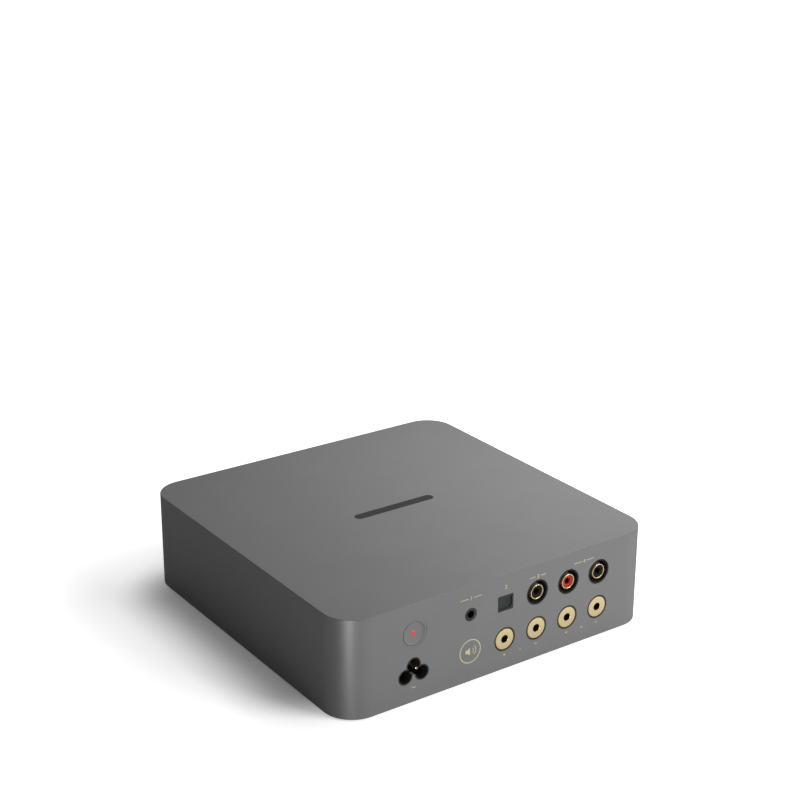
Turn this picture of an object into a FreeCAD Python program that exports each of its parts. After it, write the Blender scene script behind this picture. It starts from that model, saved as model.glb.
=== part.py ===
import FreeCAD, Part
import math
import os
from types import SimpleNamespace

import Sketcher
from FreeCAD import Placement, Rotation, Vector

# Stereo amplifier: a low square aluminium case with a rear row of sockets.
# Millimetres. Z is up, the sockets face +Y and the volume knob faces -Y.
# The origin is the centre of the whole part's footprint, on the table.

# Driving sizes, each written once. Heights named _up are above the case's bottom edge,
# places named _x are to the right of the case's middle as seen from the front, places
# named _in are behind the outer rear face, and distances named _edge run inward from
# the case's left or right side.
SIZES = {
    # case
    "case_wide": 200.0,
    "case_deep": 200.0,
    "case_tall": 55.0,
    "case_corner": 17.0,
    "wall": 3.0,
    "top_thick": 3.0,
    "top_edge_round": 0.35,
    "post_inset": 13.0,
    "post_radius": 4.0,
    "board_post_radius": 2.5,
    "post_pilot_deep": 10.0,
    "board_pilot_deep": 6.0,
    # plain inlay in the middle of the top
    "inlay_wide": 52.0,
    "inlay_deep": 6.0,
    "inlay_thick": 0.4,
    "inlay_fit": 0.05,
    # base plate, feet and screws
    "plate_thick": 2.0,
    "plate_recess": 0.6,
    "plate_gap": 0.3,
    "foot_proud": 0.8,
    "foot_radius": 10.0,
    "foot_round": 0.4,
    "foot_inset": 32.0,
    "vent_wide": 3.0,
    "vent_long": 22.0,
    "vent_pitch": 8.0,
    "vent_row_y": 45.0,
    "cover_screw_head": 2.8,
    "cover_screw_head_tall": 1.1,
    "cover_screw_shank": 1.4,
    "cover_screw_long": 9.0,
    "board_screw_head": 2.2,
    "board_screw_head_tall": 1.6,
    "board_screw_shank": 1.2,
    "board_screw_long": 5.0,
    "screw_fit": 0.05,
    "screw_hole_play": 0.3,
    "standoff_radius": 3.0,
    "standoff_tall": 4.2,
    # boards
    "board_thick": 1.6,
    "board_gap": 0.4,
    "hole_inset": 3.5,
    "board_edge": 18.0,
    "boards_apart": 1.5,
    "supply_board_x": 38.5,
    "supply_board_long": 158.0,
    "amplifier_board_long": 136.0,
    "connector_board_edge": 20.0,
    "connector_board_up": 5.0,
    "connector_board_headroom": 2.0,
    "connector_post_inset": 4.5,
    "connector_post_low": 7.0,
    "board_link_edge": 40.0,
    "board_link_wide": 40.0,
    "board_link_deep": 5.0,
    "board_link_tall": 6.0,
    # rear sockets
    "upper_row_up": 38.4,
    "lower_row_up": 17.4,
    "last_socket_edge": 37.0,
    "socket_pitch": 21.0,
    "socket_in": 22.0,
    "socket_fit": 0.1,
    "flange_gap": 0.1,
    "socket_flange": 8.0,
    "socket_flange_thick": 2.0,
    "tail_long": 1.4,
    "tail_play": 0.2,
    # phono sockets
    "collar_radius": 7.0,
    "collar_bore": 6.2,
    "collar_cup_deep": 9.5,
    "collar_floor": 2.0,
    "collar_back_radius": 6.4,
    "shell_radius": 4.15,
    "shell_wall": 0.55,
    "shell_sunk": 0.2,
    "insulator_sunk": 0.8,
    "insulator_lip": 1.2,
    "phono_contact_bore": 1.62,
    "phono_contact_wall": 0.38,
    "phono_contact_deep": 12.0,
    "phono_tail_radius": 0.9,
    # speaker sockets
    "bezel_radius": 6.7,
    "bezel_back_radius": 6.2,
    "speaker_ring": 5.8,
    "speaker_ring_thick": 2.0,
    "speaker_neck": 3.6,
    "speaker_bore": 2.05,
    "speaker_mouth": 2.3,
    "speaker_bore_deep": 19.0,
    "speaker_tail_radius": 1.3,
    # trigger jack
    "trigger_x": 22.4,
    "trigger_ring": 3.6,
    "trigger_body_radius": 5.0,
    "trigger_bore": 1.8,
    "trigger_mouth": 2.05,
    "trigger_bore_deep": 16.0,
    # optical socket
    "optical_wide": 9.9,
    "optical_tall": 8.7,
    "optical_corner": 0.6,
    "optical_rim": 0.65,
    "optical_body": 13.0,
    "optical_cavity_deep": 9.0,
    "optical_plug_bore": 3.0,
    "receiver_wide": 8.0,
    "receiver_thick": 4.0,
    "shutter_play": 0.2,
    "shutter_low_play": 0.3,
    "shutter_sunk": 0.6,
    "shutter_thick": 0.7,
    "shutter_knuckle": 0.75,
    "shutter_pin_radius": 0.4,
    "shutter_pin_play": 0.05,
    "shutter_pin_grip": 0.45,
    # mains inlet
    "inlet_x": 57.7,
    "inlet_low_up": 15.4,
    "inlet_rise": 5.35,
    "inlet_spread": 5.0,
    "lobe_radius": 4.3,
    "lobe_wall": 0.6,
    "inlet_wide": 24.0,
    "inlet_tall": 20.0,
    "inlet_deep": 21.0,
    "inlet_cavity_deep": 14.0,
    "inlet_pin_radius": 1.2,
    "inlet_pin_sunk": 4.0,
    # power button and its switch
    "button_x": 57.7,
    "button_radius": 6.45,
    "button_play": 0.15,
    "button_rim_radius": 7.9,
    "button_rim_sunk": 0.15,
    "button_dish": 0.5,
    "button_dish_rim": 0.65,
    "button_long": 4.6,
    "button_flange": 7.3,
    "button_flange_thick": 1.0,
    "button_stop_gap": 0.3,
    "button_stem": 2.5,
    "button_stem_end_in": 9.0,
    "dot_radius": 1.4,
    "dot_thick": 0.6,
    "dot_fit": 0.03,
    "plunger_radius": 1.6,
    "plunger_play": 0.06,
    "plunger_end_in": 15.0,
    "switch_front_in": 12.0,
    "switch_size": 10.0,
    "switch_floor": 1.5,
    "switch_board_in": 19.0,
    "switch_board_wide": 27.0,
    "switch_board_tall": 16.0,
    "switch_post_x": 10.5,
    # volume knob and encoder
    "knob_x": 52.0,
    "knob_up": 27.5,
    "knob_radius": 18.0,
    "knob_deep": 14.0,
    "knob_gap": 1.2,
    "knob_edge_round": 1.0,
    "knob_hollow": 11.0,
    "knob_hollow_deep": 5.0,
    "knob_cap_thick": 1.8,
    "encoder_size": 13.0,
    "encoder_deep": 7.0,
    "bushing_radius": 3.5,
    "bushing_proud": 5.0,
    "bushing_play": 0.1,
    "nut_radius": 6.0,
    "nut_thick": 2.2,
    "shaft_radius": 3.0,
    "shaft_play": 0.05,
    "shaft_flange": 4.0,
    "shaft_flange_thick": 1.0,
    "shaft_flange_in": 2.0,
    "encoder_cavity": 4.5,
    "encoder_front_skin": 1.0,
    "encoder_back_skin": 1.4,
    "rod_radius": 1.0,
    "rod_play": 0.05,
    "rod_front_in": 4.0,
    "rod_back_in": 9.0,
    "front_board_x": 12.0,
    "front_board_edge": 20.0,
    "front_board_up": 9.0,
    "front_board_headroom": 6.0,
    "light_x": 20.0,
    "light_pitch": 6.0,
    "light_radius": 1.0,
    "light_foot": 2.0,
    "light_foot_thick": 1.0,
    # parts on the power-supply board, placed from the board's left front corner
    "fuse_wide": 8.5,
    "fuse_deep": 4.0,
    "fuse_tall": 8.0,
    "fuse_x": 6.0,
    "fuse_y": 119.0,
    "filter_cap_wide": 18.0,
    "filter_cap_deep": 8.0,
    "filter_cap_tall": 15.0,
    "filter_cap_x": 20.0,
    "filter_cap_y": 124.0,
    "choke_ring": 7.5,
    "choke_thick": 3.4,
    "choke_x": 21.7,
    "choke_y": 106.0,
    "bulk_radius": 9.0,
    "bulk_tall": 36.0,
    "bulk_pitch": 20.5,
    "bulk_x": 11.5,
    "bulk_y": 80.0,
    "supply_sink_wide": 30.0,
    "supply_sink_tall": 30.0,
    "supply_sink_thick": 2.0,
    "supply_sink_foot": 7.0,
    "supply_sink_x": 6.7,
    "supply_sink_y": 56.0,
    "core_wide": 34.0,
    "core_tall": 30.0,
    "core_deep": 12.0,
    "core_leg": 5.0,
    "core_x": 4.7,
    "core_y": 28.0,
    "winding_play": 0.2,
    "winding_out": 6.0,
    "winding_corner": 2.0,
    # parts on the amplifier board, placed from the board's left front corner
    "chip_size": 14.0,
    "chip_tall": 1.2,
    "sink_x": 12.0,
    "sink_y": 72.0,
    "sink_wide": 62.0,
    "sink_deep": 42.0,
    "sink_base": 3.0,
    "sink_fin": 2.0,
    "sink_fin_pitch": 7.0,
    "sink_tall": 26.0,
    "sink_leg": 3.0,
    "coil_size": 14.0,
    "coil_tall": 12.0,
    "coil_pitch": 17.0,
    "coil_x": 9.0,
    "coil_y": 115.5,
    "relay_wide": 29.0,
    "relay_deep": 12.7,
    "relay_tall": 15.7,
    "relay_pitch": 20.0,
    "relay_x": 78.0,
    "relay_y": 96.0,
    "reservoir_radius": 8.0,
    "reservoir_tall": 28.0,
    "reservoir_pitch": 21.0,
    "reservoir_x": 62.0,
    "reservoir_y": 30.0,
    # leads inside the case
    "wire_radius": 0.8,
    "wire_pitch": 2.2,
    "power_lead_y": 12.0,
    "power_lead_x": 6.0,
    "power_lead_reach": 24.0,
    "power_lead_rise": 14.0,
    "front_lead_apart": 23.0,
    "front_lead_y": 9.0,
    "front_lead_rise": 14.0,
    "switch_lead_x": -8.0,
    "switch_lead_down": 4.0,
    "switch_lead_reach": 12.0,
}

VENT_COUNT = 11
FIN_COUNT = 9
LIGHT_COUNT = 3
BULK_COUNT = 2
COIL_COUNT = 4
RELAY_COUNT = 2
RESERVOIR_ROW_COUNT = 2
RESERVOIR_COLUMN_COUNT = 2
POWER_WIRE_COUNT = 3
FRONT_WIRE_COUNT = 3
SWITCH_WIRE_COUNT = 2

# Shares of a length: how far a cut runs for each thickness it goes through, the part of
# a slot's half width that its end arcs take, and the part of a run that a bend takes.
THROUGH = 1.5
SLOT_END = 0.98
BEND_SHARE = 0.45

# Differences too small to count, in millimetres, cubic millimetres and as a share.
SAME_LEVEL = 1e-4
SAME_VOLUME = 1e-6
VOLUME_SLACK = 0.01

SPEAKER_SOCKETS = ("left_plus", "left_minus", "right_plus", "right_minus")
PHONO_SOCKETS = ("coaxial", "line_right", "line_left")

doc = FreeCAD.newDocument("StereoAmplifier")
sheet = doc.addObject("Spreadsheet::Sheet", "Sizes")
for row, (name, value) in enumerate(SIZES.items(), start=1):
    sheet.set(f"A{row}", name)
    sheet.set(f"B{row}", str(value))
    sheet.setAlias(f"B{row}", name)
doc.recompute()


class Measure:
    """A length together with the sheet formula that gives it."""

    def __init__(self, value, formula):
        self.value = value
        self.formula = formula

    def joined(self, other, sign, value):
        return Measure(value, f"({self.formula} {sign} {as_measure(other).formula})")

    def __add__(self, other):
        return self.joined(other, "+", self.value + as_measure(other).value)

    def __sub__(self, other):
        return self.joined(other, "-", self.value - as_measure(other).value)

    def __mul__(self, other):
        return self.joined(other, "*", self.value * as_measure(other).value)

    def __truediv__(self, other):
        return self.joined(other, "/", self.value / as_measure(other).value)

    def __neg__(self):
        return self * -1


def as_measure(number):
    """Plain numbers stand in formulas as themselves."""
    if isinstance(number, Measure):
        return number
    return Measure(float(number), f"({number})")


s = SimpleNamespace(**{name: Measure(value, f"Sizes.{name}") for name, value in SIZES.items()})
ZERO = as_measure(0)

# Faces and levels that several pieces share.
knob_proud = s.knob_gap + s.knob_deep
case_y = knob_proud / 2
rear = case_y + s.case_deep / 2
front = case_y - s.case_deep / 2
bottom = s.foot_proud
top = bottom + s.case_tall
plate_under = bottom + s.plate_recess
plate_top = plate_under + s.plate_thick
board_under = plate_top + s.standoff_tall
board_top = board_under + s.board_thick
upper_row = bottom + s.upper_row_up
lower_row = bottom + s.lower_row_up
knob_z = bottom + s.knob_up
inlet_low = bottom + s.inlet_low_up
case_side = s.case_wide / 2
boards_meet = s.supply_board_x - s.boards_apart
supply_board_wide = case_side - s.board_edge - s.supply_board_x
amplifier_board_x = s.board_edge - case_side
amplifier_board_wide = boards_meet - amplifier_board_x
connector_board_x = s.connector_board_edge - case_side
connector_board_wide = boards_meet - connector_board_x
under_top = s.case_tall - s.top_thick
connector_board_tall = under_top - s.connector_board_headroom - s.connector_board_up
front_board_wide = case_side - s.front_board_edge - s.front_board_x
front_board_tall = under_top - s.front_board_headroom - s.front_board_up
first_socket_x = s.last_socket_edge + s.socket_pitch * (len(SPEAKER_SOCKETS) - 1) - case_side
connector_face = rear - s.socket_in
supply_rear = rear - s.wall - s.board_gap
supply_front = supply_rear - s.supply_board_long
amplifier_rear = connector_face - s.board_thick - s.board_gap
amplifier_front = amplifier_rear - s.amplifier_board_long
encoder_back = front + s.wall + s.encoder_deep
collar_hole = s.collar_radius + s.socket_fit
bezel_hole = s.bezel_radius + s.socket_fit
trigger_hole = s.trigger_ring + s.socket_fit
button_hole = s.button_radius + s.button_play
lobe_hole = s.lobe_radius + s.socket_fit
screw_pilot = s.cover_screw_shank + s.screw_fit
board_pilot = s.board_screw_shank + s.screw_fit
board_hole = s.board_screw_shank + s.screw_hole_play

made = []


def keep(piece):
    """Marks a finished sub-part, to be checked and written at the end."""
    made.append(piece)
    return piece


def bind(thing, **lengths):
    """Binds properties to the sheet; a double underscore stands for a dot."""
    for name, length in lengths.items():
        thing.setExpression(name.replace("__", "."), as_measure(length).formula)


def place(piece, x=ZERO, y=ZERO, z=ZERO):
    bind(piece, Placement__Base__x=x, Placement__Base__y=y, Placement__Base__z=z)


def new_body(label, x=ZERO, y=ZERO, z=ZERO):
    body = doc.addObject("PartDesign::Body", label)
    body.Label = label
    place(body, x, y, z)
    return body


def plane_of(body, role):
    return [feature for feature in body.Origin.OriginFeatures if feature.Role == role][0]


def new_sketch(body, role, offset=ZERO):
    sketch = body.newObject("Sketcher::SketchObject", f"{body.Name}_sketch")
    sketch.AttachmentSupport = [(plane_of(body, role), "")]
    sketch.MapMode = "FlatFace"
    bind(sketch, AttachmentOffset__Base__z=offset)
    return sketch


def drive(sketch, kind, *where, length):
    """Adds one dimension to a sketch and binds it to the sheet."""
    length = as_measure(length)
    index = sketch.addConstraint(Sketcher.Constraint(kind, *where, length.value))
    sketch.setExpression(f"Constraints[{index}]", length.formula)


def fix_point(sketch, item, end, x, y):
    drive(sketch, "DistanceX", -1, 1, item, end, length=x)
    drive(sketch, "DistanceY", -1, 1, item, end, length=y)


def add_circle(sketch, x, y, radius):
    x, y, radius = as_measure(x), as_measure(y), as_measure(radius)
    centre = Vector(x.value, y.value, 0)
    item = sketch.addGeometry(Part.Circle(centre, Vector(0, 0, 1), radius.value), False)
    fix_point(sketch, item, 3, x, y)
    drive(sketch, "Radius", item, length=radius)


def add_outline(sketch, points):
    """A closed outline of straight lines through the points."""
    points = [(as_measure(x), as_measure(y)) for x, y in points]
    first = sketch.GeometryCount
    for (x0, y0), (x1, y1) in zip(points, points[1:] + points[:1]):
        line = Part.LineSegment(Vector(x0.value, y0.value, 0), Vector(x1.value, y1.value, 0))
        sketch.addGeometry(line, False)
    for index, (x, y) in enumerate(points):
        after = first + (index + 1) % len(points)
        sketch.addConstraint(Sketcher.Constraint("Coincident", first + index, 2, after, 1))
        fix_point(sketch, first + index, 1, x, y)


def add_rectangle(sketch, x0, x1, y0, y1):
    add_outline(sketch, [(x0, y0), (x1, y0), (x1, y1), (x0, y1)])


def add_rounded(sketch, x0, x1, y0, y1, radius):
    """A rectangle with round corners: four arcs joined by tangent lines."""
    x0, x1, y0, y1, radius = (as_measure(length) for length in (x0, x1, y0, y1, radius))
    corners = [
        (x1 - radius, y0 + radius, -0.5),
        (x1 - radius, y1 - radius, 0.0),
        (x0 + radius, y1 - radius, 0.5),
        (x0 + radius, y0 + radius, 1.0),
    ]
    first = sketch.GeometryCount
    ends = []
    for x, y, turn in corners:
        circle = Part.Circle(Vector(x.value, y.value, 0), Vector(0, 0, 1), radius.value)
        arc = Part.ArcOfCircle(circle, turn * math.pi, (turn + 0.5) * math.pi)
        sketch.addGeometry(arc, False)
        ends.append((arc.StartPoint, arc.EndPoint))
    for index in range(4):
        line = Part.LineSegment(ends[index][1], ends[(index + 1) % 4][0])
        sketch.addGeometry(line, False)
    for index, (x, y, turn) in enumerate(corners):
        arc = first + index
        line = first + 4 + index
        after = first + (index + 1) % 4
        sketch.addConstraint(Sketcher.Constraint("Tangent", arc, 2, line, 1))
        sketch.addConstraint(Sketcher.Constraint("Tangent", line, 2, after, 1))
        fix_point(sketch, arc, 3, x, y)
        drive(sketch, "Radius", arc, length=radius)


def pad(body, sketch, length, reverse=False, both=False):
    feature = body.newObject("PartDesign::Pad", f"{body.Name}_pad")
    feature.Profile = sketch
    feature.Reversed = reverse
    feature.Midplane = both
    bind(feature, Length=length)
    doc.recompute()
    return feature


def removed(body, feature, before):
    """A cut that takes nothing away has missed the solid."""
    doc.recompute()
    if not body.Shape.Volume < before - SAME_VOLUME:
        raise ValueError(f"{feature.Name} removes nothing")
    return feature


def pocket(body, sketch, length, reverse=False, both=False):
    before = body.Shape.Volume
    feature = body.newObject("PartDesign::Pocket", f"{body.Name}_pocket")
    feature.Profile = sketch
    feature.Reversed = reverse
    feature.Midplane = both
    bind(feature, Length=length)
    return removed(body, feature, before)


def groove(body, points):
    """Cuts a turned space about the body's own Y axis; points are radius, along."""
    before = body.Shape.Volume
    sketch = new_sketch(body, "XY_Plane")
    add_outline(sketch, points)
    feature = body.newObject("PartDesign::Groove", f"{body.Name}_groove")
    feature.Profile = sketch
    feature.ReferenceAxis = (sketch, ["V_Axis"])
    return removed(body, feature, before)


def fillet(body, base, chosen, radius):
    edges = [f"Edge{number}" for number, edge in enumerate(base.Shape.Edges, start=1) if chosen(edge)]
    feature = body.newObject("PartDesign::Fillet", f"{body.Name}_fillet")
    feature.Base = (base, edges)
    bind(feature, Radius=radius)
    doc.recompute()
    return feature


def at_height(level):
    """Picks the edges that lie wholly at one height."""

    def chosen(edge):
        low = abs(edge.BoundBox.ZMin - level.value)
        high = abs(edge.BoundBox.ZMax - level.value)
        return max(low, high) < SAME_LEVEL

    return chosen


def turned(label, points, x=ZERO, y=ZERO, z=ZERO, upright=False):
    """A solid turned about Y, or about Z when upright; points are radius, along."""
    body = new_body(label, x, y, z)
    sketch = new_sketch(body, "XZ_Plane" if upright else "XY_Plane")
    add_outline(sketch, points)
    feature = body.newObject("PartDesign::Revolution", f"{label}_turn")
    feature.Profile = sketch
    feature.ReferenceAxis = (sketch, ["V_Axis"])
    doc.recompute()
    return body


def box(label, x, y, z, wide, deep, tall):
    piece = doc.addObject("Part::Box", label)
    piece.Label = label
    bind(piece, Length=wide, Width=deep, Height=tall)
    place(piece, x, y, z)
    return piece


def can(label, x, y, z, radius, tall, turn=None):
    piece = doc.addObject("Part::Cylinder", label)
    piece.Label = label
    bind(piece, Radius=radius, Height=tall)
    if turn:
        piece.Placement = Placement(Vector(), turn)
    place(piece, x, y, z)
    return piece


def group(label, pieces):
    """Equal pieces that share one node as separate solids."""
    together = doc.addObject("Part::Compound", label)
    together.Label = label
    together.Links = pieces
    return together


def tube_along(points, radius):
    """A round wire along straight runs joined by tangent arcs."""
    edges = []
    start = points[0]
    for before, corner, after in zip(points, points[1:], points[2:]):
        run_in = (corner - before).normalize()
        run_out = (after - corner).normalize()
        turn = run_in.getAngle(run_out)
        setback = BEND_SHARE * min((corner - before).Length, (after - corner).Length)
        arc_radius = setback / math.tan(turn / 2)
        enter = corner - run_in * setback
        leave = corner + run_out * setback
        inward = (run_out - run_in).normalize()
        middle = corner + inward * (arc_radius / math.cos(turn / 2) - arc_radius)
        edges.append(Part.LineSegment(start, enter).toShape())
        edges.append(Part.Arc(enter, middle, leave).toShape())
        start = leave
    edges.append(Part.LineSegment(start, points[-1]).toShape())
    path = Part.Wire(edges)
    first_run = (points[1] - points[0]).normalize()
    mouth = Part.Wire([Part.Circle(points[0], first_run, radius).toShape()])
    tube = path.makePipeShell([mouth], True, True)
    expected = math.pi * radius**2 * path.Length
    if abs(tube.Volume - expected) > VOLUME_SLACK * expected:
        raise ValueError("a lead's volume differs from its section times its length")
    return tube


def lead(label, route, step, count):
    """Side by side wires on one route, given in Measures; step is where the next one lies."""
    wires = []
    for index in range(count):
        shift = step * (s.wire_pitch.value * (index - (count - 1) / 2))
        points = [Vector(x.value, y.value, z.value) + shift for x, y, z in route]
        wires.append(tube_along(points, s.wire_radius.value))
    piece = doc.addObject("Part::Feature", label)
    piece.Label = label
    piece.Shape = Part.makeCompound(wires)
    piece.Placement = Placement()
    return piece


# Places that holes, posts, boards and screws share.
def socket_x(index):
    return first_socket_x - s.socket_pitch * index


def phono_x(index):
    return socket_x(index + 1)


def corner_places(inset):
    """Four places near the case's corners, from the middle of the case."""
    x = s.case_wide / 2 - inset
    y = s.case_deep / 2 - inset
    return [(-x, -y), (x, -y), (-x, y), (x, y)]


def connector_post_places():
    inset = s.connector_post_inset
    left = connector_board_x + inset
    right = connector_board_x + connector_board_wide - inset
    low = bottom + s.connector_board_up + s.connector_post_low
    high = bottom + s.connector_board_up + connector_board_tall - inset
    return [(x, z) for x in (left, right) for z in (low, high)]


def switch_post_places():
    return [(s.button_x - s.switch_post_x, upper_row), (s.button_x + s.switch_post_x, upper_row)]


def front_post_places():
    left = s.front_board_x + s.hole_inset
    right = s.front_board_x + front_board_wide - s.hole_inset
    low = bottom + s.front_board_up + s.hole_inset
    high = bottom + s.front_board_up + front_board_tall - s.hole_inset
    return [(x, z) for x in (left, right) for z in (low, high)]


def flat_board_holes(x, y, wide, long):
    inset = s.hole_inset
    return [(px, py) for px in (x + inset, x + wide - inset) for py in (y + inset, y + long - inset)]


def supply_board_holes():
    """The rear pair stands just in front of the mains inlet."""
    long = rear - s.inlet_deep - supply_front
    return flat_board_holes(s.supply_board_x, supply_front, supply_board_wide, long)


def amplifier_board_holes():
    return flat_board_holes(
        amplifier_board_x, amplifier_front, amplifier_board_wide, s.amplifier_board_long
    )


def light_places():
    return [(s.light_x + s.light_pitch * index, knob_z) for index in range(LIGHT_COUNT)]


def lobe_places():
    low = inlet_low
    return [
        (s.inlet_x - s.inlet_spread, low),
        (s.inlet_x + s.inlet_spread, low),
        (s.inlet_x, low + s.inlet_rise),
    ]


# Case
def cut_clover(body, level, radius, depth, reverse):
    """Three round lobes and the web between them, from an XZ plane at level."""
    for x, z in lobe_places():
        sketch = new_sketch(body, "XZ_Plane", level)
        add_circle(sketch, x, z, radius)
        pocket(body, sketch, depth, reverse=reverse)
    sketch = new_sketch(body, "XZ_Plane", level)
    add_outline(sketch, lobe_places())
    pocket(body, sketch, depth, reverse=reverse)


def cut_rear_holes(body):
    half = s.case_deep / 2
    through = s.wall * THROUGH
    sketch = new_sketch(body, "XZ_Plane", -half)
    for index in range(len(SPEAKER_SOCKETS)):
        add_circle(sketch, socket_x(index), lower_row, bezel_hole)
    for index in range(len(PHONO_SOCKETS)):
        add_circle(sketch, phono_x(index), upper_row, collar_hole)
    add_circle(sketch, s.trigger_x, upper_row, trigger_hole)
    add_circle(sketch, s.button_x, upper_row, button_hole)
    wide = s.optical_wide / 2 + s.socket_fit
    tall = s.optical_tall / 2 + s.socket_fit
    x = first_socket_x
    add_rounded(sketch, x - wide, x + wide, upper_row - tall, upper_row + tall, s.optical_corner)
    pocket(body, sketch, through, reverse=True)
    cut_clover(body, -half, lobe_hole, through, True)
    sketch = new_sketch(body, "XZ_Plane", -half)
    add_circle(sketch, s.button_x, upper_row, s.button_rim_radius)
    pocket(body, sketch, s.button_rim_sunk, reverse=True)


def cut_front_holes(body):
    sketch = new_sketch(body, "XZ_Plane", s.case_deep / 2)
    add_circle(sketch, s.knob_x, knob_z, s.bushing_radius + s.bushing_play)
    for x, z in light_places():
        add_circle(sketch, x, z, s.light_radius + s.socket_fit)
    pocket(body, sketch, s.wall * THROUGH)


def add_wall_posts(body, places, wall_level, length, inward):
    """Board posts that stand inward from a wall, each with a blind pilot hole."""
    sketch = new_sketch(body, "XZ_Plane", wall_level)
    for x, z in places:
        add_circle(sketch, x, z, s.board_post_radius)
    pad(body, sketch, length, reverse=inward > 0)
    end_level = wall_level - length * inward
    sketch = new_sketch(body, "XZ_Plane", end_level)
    for x, z in places:
        add_circle(sketch, x, z, board_pilot)
    pocket(body, sketch, s.board_pilot_deep, reverse=inward > 0)


def make_case_shell():
    body = new_body("case_shell", y=case_y)
    half_x = s.case_wide / 2
    half_y = s.case_deep / 2
    sketch = new_sketch(body, "XY_Plane", bottom)
    add_rounded(sketch, -half_x, half_x, -half_y, half_y, s.case_corner)
    block = pad(body, sketch, s.case_tall)
    fillet(body, block, at_height(top), s.top_edge_round)
    in_x = half_x - s.wall
    in_y = half_y - s.wall
    sketch = new_sketch(body, "XY_Plane", bottom)
    add_rounded(sketch, -in_x, in_x, -in_y, in_y, s.case_corner - s.wall)
    pocket(body, sketch, s.case_tall - s.top_thick, reverse=True)
    cut_rear_holes(body)
    cut_front_holes(body)
    rear_level = s.wall - half_y
    add_wall_posts(body, connector_post_places(), rear_level, s.socket_in - s.wall, -1)
    add_wall_posts(body, switch_post_places(), rear_level, s.switch_board_in - s.wall, -1)
    add_wall_posts(body, front_post_places(), half_y - s.wall, s.encoder_deep, 1)
    sketch = new_sketch(body, "XY_Plane", plate_top)
    for x, y in corner_places(s.post_inset):
        add_circle(sketch, x, y, s.post_radius)
    pad(body, sketch, top - s.top_thick - plate_top)
    sketch = new_sketch(body, "XY_Plane", plate_top)
    for x, y in corner_places(s.post_inset):
        add_circle(sketch, x, y, screw_pilot)
    pocket(body, sketch, s.post_pilot_deep, reverse=True)
    sketch = new_sketch(body, "XY_Plane", top)
    long = s.inlay_wide / 2 + s.inlay_fit
    half = s.inlay_deep / 2 + s.inlay_fit
    add_rounded(sketch, -long, long, -half, half, half * SLOT_END)
    pocket(body, sketch, s.inlay_thick)
    return keep(body)


def make_top_inlay():
    body = new_body("top_inlay", y=case_y)
    sketch = new_sketch(body, "XY_Plane", top)
    long = s.inlay_wide / 2
    half = s.inlay_deep / 2
    add_rounded(sketch, -long, long, -half, half, half * SLOT_END)
    pad(body, sketch, s.inlay_thick, reverse=True)
    return keep(body)


# Base plate, feet and its screws
def make_base_plate():
    body = new_body("base_plate", y=case_y)
    x = s.case_wide / 2 - s.wall - s.plate_gap
    y = s.case_deep / 2 - s.wall - s.plate_gap
    sketch = new_sketch(body, "XY_Plane", plate_under)
    add_rounded(sketch, -x, x, -y, y, s.case_corner - s.wall - s.plate_gap)
    pad(body, sketch, s.plate_thick)
    for radius, depth in (
        (s.cover_screw_shank + s.screw_hole_play, s.plate_thick),
        (s.cover_screw_head + s.screw_hole_play, s.cover_screw_head_tall),
    ):
        sketch = new_sketch(body, "XY_Plane", plate_under)
        for px, py in corner_places(s.post_inset):
            add_circle(sketch, px, py, radius)
        pocket(body, sketch, depth, reverse=True)
    for side in (-1, 1):
        add_vent_row(body, s.vent_row_y * side)
    return keep(body)


def add_vent_row(body, row_y):
    """One long vent slot, repeated along X."""
    span = s.vent_pitch * (VENT_COUNT - 1)
    half = s.vent_wide / 2
    x = span * -0.5
    sketch = new_sketch(body, "XY_Plane", plate_under)
    low = row_y - s.vent_long / 2
    high = row_y + s.vent_long / 2
    add_rounded(sketch, x - half, x + half, low, high, half * SLOT_END)
    first = pocket(body, sketch, s.plate_thick, reverse=True)
    before = body.Shape.Volume
    row = body.newObject("PartDesign::LinearPattern", f"{body.Name}_vents")
    row.Originals = [first]
    row.Direction = (sketch, ["H_Axis"])
    row.Occurrences = VENT_COUNT
    bind(row, Length=span)
    body.Tip = row
    removed(body, row, before)


def make_rubber_feet():
    body = new_body("rubber_feet", y=case_y)
    body.AllowCompound = True
    sketch = new_sketch(body, "XY_Plane")
    for x, y in corner_places(s.foot_inset):
        add_circle(sketch, x, y, s.foot_radius)
    discs = pad(body, sketch, plate_under)
    fillet(body, discs, at_height(ZERO), s.foot_round)
    return keep(body)


def screw(label, x, y, z, turn, head, head_tall, shank, long):
    """A screw whose head sits at the place given and whose shank follows the turned Z axis."""
    away = turn.multVec(Vector(0, 0, 1))
    head_piece = can(f"{label}_head", x, y, z, head, head_tall, turn)
    shank_piece = can(
        f"{label}_shank",
        x + head_tall * away.x,
        y + head_tall * away.y,
        z + head_tall * away.z,
        shank,
        long,
        turn,
    )
    whole = doc.addObject("Part::Fuse", label)
    whole.Base = head_piece
    whole.Tool = shank_piece
    return whole


UP = Rotation()
DOWN = Rotation(Vector(1, 0, 0), 180)
TO_REAR = Rotation(Vector(1, 0, 0), -90)
TO_FRONT = Rotation(Vector(1, 0, 0), 90)


def make_cover_screws():
    screws = []
    for index, (x, y) in enumerate(corner_places(s.post_inset)):
        screws.append(
            screw(
                f"cover_screw_{index + 1}",
                x,
                y + case_y,
                plate_under,
                UP,
                s.cover_screw_head,
                s.cover_screw_head_tall,
                s.cover_screw_shank,
                s.cover_screw_long,
            )
        )
    return keep(group("cover_screws", screws))


def board_screw(index, x, y, z, turn):
    return screw(
        f"board_screw_{index}",
        x,
        y,
        z,
        turn,
        s.board_screw_head,
        s.board_screw_head_tall,
        s.board_screw_shank,
        s.board_screw_long,
    )


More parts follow.
